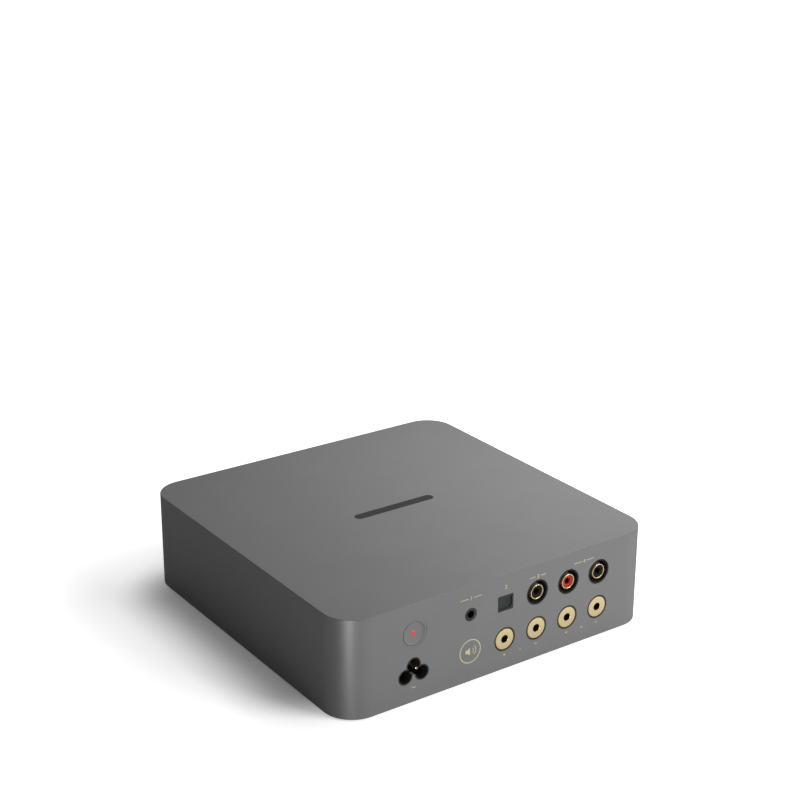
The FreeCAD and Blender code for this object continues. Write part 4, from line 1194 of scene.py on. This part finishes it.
@dataclass
class TriggerJack:
    """The small jack: a grey ring with a chamfered mouth."""

    node: str = "trigger_jack"
    ring: float = 3.6 * MM
    body: float = 5.0 * MM
    wall: float = 3.1 * MM
    deep: float = 22.0 * MM
    bore: float = 1.8 * MM
    mouth: float = 2.15 * MM
    mouth_deep: float = 1.6 * MM
    bore_deep: float = 16.0 * MM
    edge: float = 0.22 * MM
    lit_deep: float = 0.25 * MM

    def build(self) -> None:
        """Turns the jack in one piece."""
        centre = middle(self.node)
        outline = [
            (self.body, -self.deep),
            (self.body, -self.wall),
            (self.ring, -self.wall),
            (self.ring, -self.edge),
            (self.ring - self.edge * 0.3, -self.edge * 0.3),
            (self.ring - self.edge, 0.0),
            (self.mouth, 0.0),
            (self.mouth - self.edge * 0.3, -self.edge * 0.4),
            (self.mouth - self.edge * 0.3, -self.mouth_deep),
            (self.bore, -self.mouth_deep),
            (self.bore, -self.bore_deep),
        ]
        jack = lathed("trigger_jack_body", outline, (centre.x, rear_face(), centre.z))
        grey = TurnedMetal(
            "jack_grey",
            linear(57, 57, 58),
            specular=0.08,
            centre=tuple(centre),
            # The bore is painted shade from lit_deep behind the face.
            bright_from=rear_face() - self.lit_deep,
        )
        mounted(jack, grey.make(), stands_for=[self.node])


@dataclass
class OpticalSocket:
    """The optical socket's keyed rim and its hinged flap."""

    wide: float = 9.7 * MM
    tall: float = 8.5 * MM
    rim_thick: float = 0.5 * MM
    rim_sunk: float = 0.05 * MM
    open_wide: float = 8.1 * MM
    open_tall: float = 6.7 * MM
    key: float = 2.4 * MM
    flap_thick: float = 0.7 * MM
    knuckle: float = 0.75 * MM
    rim_soft: float = 0.06 * MM
    panel_border: float = 0.7 * MM
    panel_deep: float = 0.12 * MM
    flap_soft: float = 0.07 * MM

    def opening(self) -> bpy.types.Object:
        """A block with the opening's outline, whose one large corner keys the plug.

        Returns:
            The block, as a cutting tool.
        """
        block = slab("opening_block", self.open_wide, self.open_tall, self.rim_thick * 4)

        def corner(first: Vector, second: Vector) -> bool:
            """The upright edge at the lower right, seen from behind the amplifier."""
            upright = abs(first.z - second.z) > self.rim_thick
            return upright and min(first.x, second.x) > 0 and max(first.y, second.y) < 0

        pick_edges(block, corner)
        bpy.ops.mesh.bevel(offset=self.key, segments=14, affect="EDGES")
        rest()
        return block

    def rim(self, centre: Vector) -> None:
        """The rim round the opening.

        Args:
            centre: the middle of the socket's housing.
        """
        plate = slab("optical_keyed_rim", self.wide, self.tall, self.rim_thick)
        combined(plate, Join.CUTS, self.opening())
        soften(plate, self.rim_soft)
        stand(plate, (centre.x, rear_face() - self.rim_sunk - self.rim_thick / 2, centre.z), Facing.REAR)
        shade(plate)
        mounted(plate, SHUTTER.make())

    def flap(self, centre: Vector) -> None:
        """The flap, with a shallow panel in its face and a knuckle along its top edge.

        Args:
            centre: the middle of the socket's housing.
        """
        low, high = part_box("optical_shutter")
        wide = high.x - low.x
        tall = high.z - low.z - self.knuckle
        flap = slab("optical_flap", wide, tall, self.flap_thick)
        pick_faces(flap, lambda face: face.normal.z > SQUARE_ON)
        bpy.ops.mesh.inset(thickness=self.panel_border)
        bpy.ops.mesh.extrude_region_move(TRANSFORM_OT_translate={"value": (0, 0, -self.panel_deep)})
        rest()
        soften(flap, self.flap_soft)
        bpy.ops.mesh.primitive_cylinder_add(
            vertices=32,
            radius=self.knuckle,
            depth=wide,
            location=(0, tall / 2, self.flap_thick / 2 - self.knuckle),
            rotation=(0, math.pi / 2, 0),
        )
        combined(flap, Join.ADDS, applied(name_it("flap_knuckle")))
        stand(flap, (centre.x, high.y - self.flap_thick / 2, low.z + tall / 2), Facing.REAR)
        shade(flap)
        mounted(flap, FLAP.make(), "optical_shutter", ["optical_shutter"])

    def build(self) -> None:
        """Makes the rim and the flap."""
        centre = middle("optical_housing")
        self.rim(centre)
        self.flap(centre)


@dataclass
class MainsInlet:
    """The three contact pins in the mains inlet, with rounded tips."""

    node: str = "inlet_pins"
    radius: float = 1.2 * MM
    spread: float = 5.0 * MM

    def build(self) -> None:
        """Makes one pin and copies it to the other two places."""
        low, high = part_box(self.node)
        long = high.y - low.y
        r = self.radius
        outline = [
            (r, -long),
            (r, -r * 0.8),
            (r * 0.93, -r * 0.42),
            (r * 0.72, -r * 0.16),
            (r * 0.4, -r * 0.03),
            (r * 0.12, 0.0),
        ]
        x = (low.x + high.x) / 2
        below = low.z + r
        pin = lathed("inlet_pin_left", outline, (x - self.spread, high.y, below), sides=48)
        brass = TurnedMetal("pin_brass", shaded(GOLD, 0.6), 0.36, 0.7).make()
        pins = [
            pin,
            copied(pin, "inlet_pin_right", (2 * self.spread, 0, 0)),
            copied(pin, "inlet_pin_earth", (self.spread, 0, high.z - r - below)),
        ]
        for piece in pins:
            mounted(piece, brass, stands_for=[self.node])


@dataclass
class PowerButton:
    """The button's dished cap and the red dot in its middle.

    The cap's rim is a row of points: how far in from its radius, and how high. The dot's dome
    gives shares of its radius, and heights.
    """

    cap: float = 6.45 * MM
    rim: tuple[Ring, ...] = (
        (0.0, -0.3 * MM),
        (0.08 * MM, -0.09 * MM),
        (0.24 * MM, 0.0),
        (0.42 * MM, -0.03 * MM),
    )
    flange: float = 7.3 * MM
    flange_from: float = 3.3 * MM
    flange_to: float = 4.3 * MM
    stem: float = 2.5 * MM
    seat: float = 1.43 * MM
    dish: float = 0.5 * MM
    dish_edge: float = 0.62
    dish_from: float = 0.95 * MM
    dish_steps: int = 7
    dot: float = 1.4 * MM
    dot_thick: float = 0.6 * MM
    dome: tuple[Ring, ...] = ((1.0, -0.05 * MM), (0.93, 0.03 * MM), (0.7, 0.09 * MM), (0.35, 0.12 * MM))

    def cap_outline(self) -> list[Ring]:
        """From the stem's end, over the flange and the rounded rim, down the dish to the dot's seat.

        Returns:
            The radius and height of each ring.
        """
        low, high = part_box("power_button")
        points = [
            (self.stem, low.y - high.y),
            (self.stem, -self.flange_to),
            (self.flange, -self.flange_to),
            (self.flange, -self.flange_from),
            (self.cap, -self.flange_from),
        ]
        points += [(self.cap - inward, height) for inward, height in self.rim]
        start = self.cap - self.dish_from
        for step in range(self.dish_steps):
            share = step / self.dish_steps
            radius = start + (self.seat - start) * share
            deep = self.dish_edge + (1 - self.dish_edge) * math.sin(share * math.pi / 2)
            points.append((radius, -self.dish * deep))
        points += [(self.seat, -self.dish), (self.seat, -self.dish - self.dot_thick)]
        return points

    def build(self) -> None:
        """Makes the cap and the dot."""
        centre = middle("power_button")
        place = (centre.x, rear_face(), centre.z)
        cap = lathed("power_button_cap", self.cap_outline(), place)
        mounted(cap, BUTTON.make(), "power_button", ["power_button"])
        outline = [(self.dot, -self.dish - self.dot_thick)]
        outline += [(self.dot * share, height - self.dish) for share, height in self.dome]
        dot = lathed("power_dot_lens", outline, place, sides=48)
        mounted(dot, DOT.make(), "power_button", ["power_button_dot"])


@dataclass
class VolumeKnob:
    """The volume knob: a turned cap with a shallow dished face, and the three lights beside it.

    The groove and the face are rows of points: how far in from the radius, and how far above
    the knob's foot, or under its front. The lights' dome gives shares of their radius, and heights.
    """

    radius: float = 18.0 * MM
    gap: float = 1.2 * MM
    hollow: float = 11.0 * MM
    hollow_deep: float = 5.0 * MM
    bore: float = 3.05 * MM
    cap_thick: float = 1.8 * MM
    edge: float = 1.0 * MM
    edge_steps: int = 6
    foot_edge: float = 0.4 * MM
    groove: tuple[Ring, ...] = (
        (0.0, 1.6 * MM),
        (0.25 * MM, 1.75 * MM),
        (0.25 * MM, 2.05 * MM),
        (0.0, 2.2 * MM),
    )
    face: tuple[Ring, ...] = (
        (1.5 * MM, 0.0),
        (1.9 * MM, 0.22 * MM),
        (9.0 * MM, 0.3 * MM),
        (16.2 * MM, 0.32 * MM),
    )
    light: float = 1.0 * MM
    light_foot: float = 2.0 * MM
    light_foot_tall: float = 1.0 * MM
    dome: tuple[Ring, ...] = ((1.0, -0.15 * MM), (0.93, -0.03 * MM), (0.75, 0.02 * MM), (0.3, 0.06 * MM))

    def outline(self, proud: float) -> list[Ring]:
        """The knob's section, from the bottom of its bore to the middle of its face.

        Args:
            proud: how far the knob stands out from the case.

        Returns:
            The radius and height of each ring.
        """
        r = self.radius
        e = self.edge
        points = [
            (self.bore, proud - self.cap_thick),
            (self.bore, self.gap + self.hollow_deep),
            (self.hollow, self.gap + self.hollow_deep),
            (self.hollow, self.gap),
            (r - self.foot_edge, self.gap),
            (r, self.gap + self.foot_edge),
        ]
        points += [(r - inward, self.gap + height) for inward, height in self.groove]
        for step in range(self.edge_steps + 1):
            turn = step / self.edge_steps * math.pi / 2
            points.append((r - e + e * math.cos(turn), proud - e + e * math.sin(turn)))
        return points + [(r - inward, proud - depth) for inward, depth in self.face]

    def build(self) -> None:
        """Makes the knob and the lights."""
        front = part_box("case_shell")[0].y
        centre = middle("volume_knob")
        outline = self.outline(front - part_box("volume_knob")[0].y)
        knob = lathed("volume_knob_cap", outline, (centre.x, front, centre.z), Facing.FRONT, 128)
        finish = TurnedMetal("knob_turned", GREY, 0.36, 0.55, centre=tuple(centre), pitch=0.4 * MM)
        mounted(knob, finish.make(), "volume_knob", ["volume_knob"])
        self.lights(front)

    def lights(self, front: float) -> None:
        """Three light pipes with domed tips, flush in the front.

        Args:
            front: where the front face is along Y.
        """
        low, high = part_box("light_pipes")
        foot_end = front - high.y + self.light_foot_tall
        outline = [
            (self.light_foot, front - high.y),
            (self.light_foot, foot_end),
            (self.light, foot_end),
        ]
        outline += [(self.light * share, height) for share, height in self.dome]
        first = low.x + self.light_foot
        pitch = (high.x - self.light_foot - first) / 2
        lamp = lathed("light_lens_1", outline, (first, front, (low.z + high.z) / 2), Facing.FRONT, 40)
        clear = LIGHT.make()
        for piece in repeated(lamp, "light_lens", [(pitch, 0, 0), (pitch * 2, 0, 0)]):
            mounted(piece, clear, stands_for=["light_pipes"])


@dataclass
class Underside:
    """The rubber feet and the screws that hold the base plate.

    A groove in a foot's sole is a row of points: how far out from its middle, and how deep.
    """

    foot: float = 10.0 * MM
    foot_rim: tuple[Ring, ...] = ((0.0, 0.45 * MM), (0.12 * MM, 0.15 * MM), (0.45 * MM, 0.0))
    groove_at: tuple[float, ...] = (0.8, 0.56)
    groove: tuple[Ring, ...] = (
        (0.45 * MM, 0.0),
        (0.3 * MM, 0.28 * MM),
        (-0.3 * MM, 0.28 * MM),
        (-0.45 * MM, 0.0),
    )
    sole: float = 0.8 * MM
    head: float = 2.8 * MM
    head_tall: float = 1.1 * MM
    head_rim: tuple[Ring, ...] = ((0.0, 0.35 * MM), (0.1 * MM, 0.12 * MM), (0.35 * MM, 0.0))
    shank: float = 1.4 * MM
    socket: float = 1.25 * MM
    socket_deep: float = 0.8 * MM

    def set_out(
        self, piece: bpy.types.Object, node: str, radius: float, top: float, finish: Finish
    ) -> None:
        """Puts a piece in a node's four places near the corners of the case, and mounts it there.

        Args:
            piece: the piece, built upright; its name ends in _1.
            node: the node that it stands for.
            radius: the piece's largest radius.
            top: the height of its upright origin, once it hangs down.
            finish: its finish.
        """
        low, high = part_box(node)
        places = [
            Vector((x, y, 0.0))
            for x in (low.x + radius, high.x - radius)
            for y in (low.y + radius, high.y - radius)
        ]
        stand(piece, (places[0].x, places[0].y, top), Facing.DOWN)
        shade(piece)
        material = finish.make()
        shifts = [place - places[0] for place in places[1:]]
        for item in repeated(piece, piece.name.removesuffix("_1"), shifts):
            mounted(item, material, stands_for=[node])

    def feet(self) -> None:
        """Feet with a rounded edge and two grooves round their soles."""
        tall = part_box("rubber_feet")[1].z
        outline = [(self.foot, 0.0)] + [(self.foot - inward, tall - down) for inward, down in self.foot_rim]
        for share in self.groove_at:
            outline += [(self.foot * share + out, tall - deep) for out, deep in self.groove]
        outline.append((self.sole, tall))
        self.set_out(turned("foot_1", outline, 72), "rubber_feet", self.foot, tall, RUBBER)

    def screws(self) -> None:
        """Screws with a rounded head and a six-sided socket."""
        low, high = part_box("cover_screws")
        outline = [
            (self.shank, low.z - high.z),
            (self.shank, -self.head_tall),
            (self.head, -self.head_tall),
        ]
        outline += [(self.head - inward, -down) for inward, down in self.head_rim]
        screw = turned("cover_screw_1", outline, 48)
        bpy.ops.mesh.primitive_cylinder_add(vertices=6, radius=self.socket, depth=self.socket_deep * 2)
        combined(screw, Join.CUTS, name_it("socket_tool"))
        self.set_out(screw, "cover_screws", self.head, low.z, SCREW)

    def build(self) -> None:
        """Makes the feet and the screws."""
        self.feet()
        self.screws()


@dataclass
class RearPrint:
    """The pale marks on the rear face: numbers, signs and a loudspeaker, with no words."""

    thick: float = 0.03 * MM
    line: float = 0.36 * MM
    number_tall: float = 2.3 * MM
    letter_scale: float = 1.4
    label_spans: tuple[float, ...] = (13.4 * MM, 3.0 * MM, 10.6 * MM, 13.6 * MM)
    sign: float = 1.5 * MM
    upper: float = 48.4 * MM
    lower: float = 9.1 * MM
    dot: float = 0.324 * MM
    dot_pitch: float = 3.2
    ring: float = 6.75 * MM
    ring_line: float = 0.52 * MM
    box: tuple[float, float] = (1.3 * MM, 1.9 * MM)
    box_at: float = -2.3 * MM
    cone: tuple[float, float] = (1.5 * MM, 1.9 * MM)
    cone_at: float = -0.95 * MM
    cone_flare: float = 2.3
    arcs: tuple[float, ...] = (2.1 * MM, 3.6 * MM)
    arc_half: float = math.radians(42)
    mains_sign: float = 3.5 * MM

    def __post_init__(self) -> None:
        """Starts with no marks and one ink for all of them."""
        self.ink = PRINT.make()

    def settle(self, piece: bpy.types.Object, x: float, z: float) -> None:
        """Puts a flat mark on the rear face."""
        stand(piece, (x, rear_face() + self.thick / 2, z), Facing.REAR)
        mounted(piece, self.ink)

    def bar(self, name: str, wide: float, tall: float) -> bpy.types.Object:
        """A flat bar with softened ends.

        Args:
            name: its name.
            wide: its length.
            tall: its height.

        Returns:
            The bar.
        """
        piece = slab(name, wide, tall, self.thick)
        soften(piece, min(wide, tall) * 0.2)
        return piece

    def number(self, name: str, text: str, tall: float) -> bpy.types.Object:
        """A flat figure or sign from the plain built-in letter shapes.

        Args:
            name: its name.
            text: the figure or sign.
            tall: its height.

        Returns:
            The mark, its middle at the origin.
        """
        rest()
        bpy.ops.object.text_add()
        letter = bpy.context.object
        letter.data.body = text
        letter.data.size = tall * self.letter_scale
        letter.data.extrude = self.thick / 2
        letter.data.resolution_u = 6
        letter.data.align_x = "CENTER"
        letter.data.align_y = "CENTER"
        choose(letter)
        bpy.ops.object.convert(target="MESH")
        piece = name_it(name)
        outward(piece)
        low = Vector(piece.bound_box[0])
        high = Vector(piece.bound_box[6])
        piece.data.transform(Matrix.Translation(-(low + high) / 2))
        return piece

    def label(self, number: int, x: float, span: float) -> None:
        """A number with a line at each side, or alone where there is no room for lines.

        Args:
            number: the number.
            x: where its middle goes.
            span: how wide the whole label is.
        """
        name = f"print_number_{number}"
        parts = [self.number(name, str(number), self.number_tall)]
        long = (span - self.number_tall * 1.5) / 2
        if long > self.number_tall:
            for side in (-1, 1):
                bar = self.bar("label_line", long, self.line)
                parts.append(stand(bar, (side * (span - long) / 2, 0, 0)))
        self.settle(joined(name, parts), x, self.upper)

    def plus(self, name: str, x: float) -> None:
        """A plus sign drawn out of one small block.

        Args:
            name: its name.
            x: where its middle goes.
        """
        piece = slab(name, self.line, self.line, self.thick)
        reach = (self.sign - self.line) / 2
        for way in (Vector((1, 0, 0)), Vector((-1, 0, 0)), Vector((0, 1, 0)), Vector((0, -1, 0))):
            pick_faces(
                piece, lambda face: face.normal.dot(way) > SQUARE_ON and face.center.length < self.line
            )
            bpy.ops.mesh.extrude_region_move(TRANSFORM_OT_translate={"value": tuple(way * reach)})
        outward(piece)
        self.settle(piece, x, self.lower)

    def dots(self, name: str, count: int, x: float) -> None:
        """One or two dots, for the first or the second channel.

        Args:
            name: their name.
            count: how many there are.
            x: where their middle goes.
        """
        r = self.dot
        half = self.thick / 2
        outline = [(r, -half), (r, half * 0.6), (r * 0.9, half)]
        parts = []
        for index in range(count):
            place = ((index - (count - 1) / 2) * r * self.dot_pitch, 0, 0)
            parts.append(stand(turned(f"{name}_{index}", outline, 24), place))
        self.settle(joined(name, parts), x, self.lower)

    def loudspeaker(self, x: float, z: float) -> None:
        """A ring round a loudspeaker: a box, its cone and two arcs of sound.

        Args:
            x: where its middle goes.
            z: its height.
        """
        half = self.thick / 2
        inner = self.ring - self.ring_line
        outline = [(self.ring, -half), (self.ring, half), (inner, half), (inner, -half)]
        self.settle(turned("print_ring", outline, 128, closed=True), x, z)
        box = stand(self.bar("print_loudspeaker", *self.box), (self.box_at, 0, 0))
        cone = slab("speaker_cone", *self.cone, self.thick)
        pick_faces(cone, lambda face: face.normal.x > SQUARE_ON)
        bpy.ops.transform.resize(value=(1, self.cone_flare, 1), center_override=(self.cone[0] / 2, 0, 0))
        rest()
        stand(cone, (self.cone_at, 0, 0))
        parts = [box, cone] + [self.arc(radius) for radius in self.arcs]
        self.settle(joined("print_loudspeaker", parts), x, z)

    def arc(self, radius: float) -> bpy.types.Object:
        """One arc of sound, spun from a small block's end face.

        Args:
            radius: the arc's radius.

        Returns:
            The arc, round the origin.
        """
        piece = stand(slab("sound_arc", self.line, self.line * 0.2, self.thick), (radius, 0, 0))
        start = -self.arc_half
        piece.rotation_euler = (0, 0, start)
        applied(piece)
        way = Vector((-math.sin(start), math.cos(start), 0))
        pick_faces(piece, lambda face: face.normal.dot(way) > SQUARE_ON)
        bpy.ops.mesh.spin(steps=16, angle=self.arc_half * 2, center=(0, 0, 0), axis=(0, 0, -1))
        outward(piece)
        return piece

    def build(self) -> None:
        """Prints every mark in its place beside its socket."""
        trigger = middle("trigger_jack")
        pair = (middle("line_right_collar") + middle("line_left_collar")) / 2
        labelled = (trigger, middle("optical_housing"), middle("coaxial_collar"), pair)
        for number, (place, span) in enumerate(zip(labelled, self.label_spans), start=1):
            self.label(number, place.x, span)
        sockets = {name: middle(f"speaker_{name}_contact").x for name in SpeakerSockets.names}
        for number, side in enumerate(("left", "right"), start=1):
            self.plus(f"print_plus_{number}", sockets[f"{side}_plus"])
        for number, side in enumerate(("left", "right"), start=1):
            minus = self.bar(f"print_minus_{number}", self.sign, self.line)
            self.settle(minus, sockets[f"{side}_minus"], self.lower)
        self.dots("print_dot_left", 1, (sockets["left_plus"] + sockets["left_minus"]) / 2)
        self.dots("print_dots_right", 2, (sockets["right_plus"] + sockets["right_minus"]) / 2)
        mains = self.number("print_mains", "~", self.mains_sign)
        self.settle(mains, middle("inlet_body").x, self.lower)
        self.loudspeaker(trigger.x, middle("speaker_left_plus_contact").z)


@dataclass
class CarriedOver:
    """The nodes of the frame whose shape is right: each gets its finish."""

    def finishes(self) -> dict[Finish, tuple[str, ...]]:
        """Which finish each node takes.

        Returns:
            The nodes by their finish.
        """
        steel = TurnedMetal("plated_steel", linear(150, 150, 148), 0.35, 0.9, axis=Axis.Z)
        board = Board("board_green", (0.012, 0.06, 0.02), 0.4)
        part = MouldedPlastic("component_black", linear(30, 30, 31), 0.5)
        return {
            CASE: ("case_shell",),
            INLAY: ("top_inlay",),
            PLATE: ("base_plate",),
            MouldedPlastic("housing_black", linear(20, 20, 20), 0.45): (
                "inlet_body",
                "optical_housing",
                "optical_receiver",
            ),
            # The phono contacts' near-black colour is painted shade, deep in the sockets' holes.
            TurnedMetal("contact_painted_shade", shaded(GOLD, 0.05), 0.5, 0.5, specular=0.02): ("phono_contacts",),
            steel: ("board_screws", "board_standoffs", "encoder_nut", "shutter_pin"),
            TurnedMetal("shaft_steel", linear(160, 160, 158), 0.3, 0.9): ("encoder_shaft", "encoder_rod"),
            board: (
                "power_supply_board",
                "amplifier_board",
                "connector_board",
                "switch_board",
                "front_board",
            ),
            part: (
                "amplifier_chip",
                "output_inductors",
                "speaker_relays",
                "mains_fuse",
                "encoder_body",
                "switch_body",
            ),
            MouldedPlastic("moulding_white", linear(222, 220, 210), 0.45): ("board_link", "switch_plunger"),
            Wound("sleeve_black", linear(28, 30, 40), 0.35, pitch=2 * MM): (
                "bulk_capacitors",
                "reservoir_capacitors",
            ),
            GlossPlastic("film_yellow", linear(214, 172, 40), 0.3, coat=0.2): ("filter_capacitor",),
            MouldedPlastic("ferrite", linear(52, 50, 48), 0.6): ("transformer_core",),
            Wound("winding_copper", linear(176, 96, 48), 0.35): ("transformer_winding", "filter_choke"),
            BlastedMetal("heatsink_alu", linear(150, 152, 154), 0.4, 0.8, grain=0.4 * MM): (
                "supply_heatsink",
                "amplifier_heatsink",
            ),
            Wound("wire_black", linear(26, 26, 27), 0.5, axis=Axis.Y, pitch=4 * MM): (
                "power_lead",
                "front_lead",
                "switch_lead",
            ),
        }

    def build(self) -> None:
        """Paints every node."""
        for finish, nodes in self.finishes().items():
            material = finish.make()
            for node in nodes:
                dressed(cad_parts[node].data, material)
            LOG.info("%s: %s", finish.name, ", ".join(nodes))


# Studio

@dataclass
class Camera:
    """The photograph's viewpoint, worked out for a frame of 800 by 800."""

    azimuth: float = 144.9226
    elevation: float = 20.6564
    roll: float = 0.2213
    distance: float = 1.1530489
    target: tuple[float, float, float] = (-0.1404497, -0.1873592, 0.0285477)
    lens: float = 74.4875
    sensor: float = 36.0
    near: float = 10.0 * MM

    def build(self) -> None:
        """Makes the camera and sets it as the scene's."""
        a = math.radians(self.azimuth)
        e = math.radians(self.elevation)
        r = math.radians(self.roll)
        back = Vector((math.sin(a) * math.cos(e), -math.cos(a) * math.cos(e), math.sin(e)))
        right = Vector((math.cos(a), math.sin(a), 0.0))
        up = back.cross(right)
        across = right * math.cos(r) + up * math.sin(r)
        upward = up * math.cos(r) - right * math.sin(r)
        data = bpy.data.cameras.new("camera")
        data.lens = self.lens
        data.sensor_width = self.sensor
        data.clip_start = self.near
        camera = bpy.data.objects.new("camera", data)
        bpy.context.scene.collection.objects.link(camera)
        turn = Matrix((across, upward, back)).transposed().to_4x4()
        camera.matrix_world = Matrix.Translation(Vector(self.target) + back * self.distance) @ turn
        bpy.context.scene.camera = camera


@dataclass(frozen=True)
class Lamp:
    """A soft box: where it stands, where it points, its size and its power.

    One that is only for highlights is left out of matt surfaces.
    """

    name: str
    place: tuple[float, float, float]
    aim: tuple[float, float, float]
    wide: float
    tall: float
    power: float
    highlight: bool = False

    def build(self) -> None:
        """Makes the lamp."""
        data = bpy.data.lights.new(self.name, "AREA")
        data.shape = "RECTANGLE"
        data.size = self.wide
        data.size_y = self.tall
        data.energy = self.power
        lamp = bpy.data.objects.new(self.name, data)
        bpy.context.scene.collection.objects.link(lamp)
        way = Vector(self.aim) - Vector(self.place)
        lamp.rotation_euler = way.to_track_quat("-Z", "Y").to_euler()
        lamp.location = self.place
        lamp.visible_camera = False
        lamp.visible_diffuse = not self.highlight


@dataclass
class Studio:
    """A plain white room: soft light from above and behind, and a weak one from the front."""

    floor_size: float = 14.0
    floor_tone: float = 0.8
    shade_glow: float = 0.127
    lit_glow: float = 0.706
    shade_centre: tuple[float, float] = (0.0055, -0.0003)
    shade_half: tuple[float, float] = (0.0793, 0.0571)
    shade_from: float = 0.016
    shade_to: float = 0.055
    white_from: float = 0.16
    sky: float = 0.064
    lamps: tuple[Lamp, ...] = (
        Lamp("key", (-0.165, 0.01, 0.3), (-0.14, 0.01, 0.05), 0.25, 0.25, 0.84),
        Lamp("rear", (-0.5, 0.9, 0.5), (0.0, 0.1, 0.03), 0.5, 0.4, 8.9),
        Lamp("rim", (0.33, 0.354, 0.008), (0.083, 0.09, 0.03), 0.04, 0.01, 3.0, highlight=True),
        Lamp("front", (0.1, -0.9, 0.1), (0.0, -0.09, 0.03), 0.5, 0.3, 2.0),
    )

    def floor(self) -> None:
        """A pale floor that keeps the amplifier's shadow.

        Its glow is what makes it white. It is weakest round shade_centre, and grows with the
        distance from the block of shade_half: first to lit_glow, then to full white. The weak
        glow round the amplifier is a painted shadow, on top of the one that the lamps cast.
        """
        rest()
        bpy.ops.mesh.primitive_plane_add(size=self.floor_size)
        piece = name_it("floor")
        paint = Paint("floor_white")
        pale = self.floor_tone
        away = paint.vector("ABSOLUTE", paint.centred((*self.shade_centre, 0.0))).outputs[0]
        away = paint.vector("SUBTRACT", away, (*self.shade_half, 0.0)).outputs[0]
        away = paint.vector("MAXIMUM", away, (0.0, 0.0, 0.0)).outputs[0]
        away = paint.vector("LENGTH", away).outputs["Value"]
        lit = paint.ramp(away, self.shade_from, self.shade_to)
        white = paint.ramp(away, self.shade_to, self.white_from)
        glow = self.shade_glow + (self.lit_glow - self.shade_glow) * lit + (1.0 - self.lit_glow) * white
        paint.set(
            Base_Color=paint.between(paint.noise(0.4, 1.0), (pale * 0.99,) * 3, (pale * 1.01,) * 3),
            Roughness=0.9,
            Specular_IOR_Level=0.0,
            Emission_Color=WHITE,
            Emission_Strength=glow * paint.seen(),
        )
        dressed(piece.data, paint.material)

    def world(self) -> None:
        """White where it is seen, and a plain soft light otherwise."""
        world = bpy.data.worlds.new("room")
        bpy.context.scene.world = world
        world.use_nodes = True
        nodes = Nodes(world.node_tree)
        light = self.sky + (1.0 - self.sky) * nodes.seen()
        background = nodes.add("ShaderNodeBackground", inputs={"Color": WHITE, "Strength": light})
        nodes.add("ShaderNodeOutputWorld", inputs={"Surface": background.outputs[0]})

    def build(self) -> None:
        """Makes the floor, the lamps, the world and the plain view."""
        self.floor()
        self.world()
        for lamp in self.lamps:
            lamp.build()
        bpy.context.scene.view_settings.view_transform = "Standard"


def main() -> None:
    """Builds the amplifier's dress and the studio."""
    logging.basicConfig(level=logging.INFO, format="%(name)s: %(message)s")
    for part in (
        Camera(),
        CarriedOver(),
        SpeakerSockets(),
        PhonoSockets(),
        TriggerJack(),
        OpticalSocket(),
        MainsInlet(),
        PowerButton(),
        VolumeKnob(),
        Underside(),
        RearPrint(),
        Studio(),
    ):
        part.build()
        LOG.info("%s is done", type(part).__name__)
    rest()


if __name__ == "__main__":
    main()
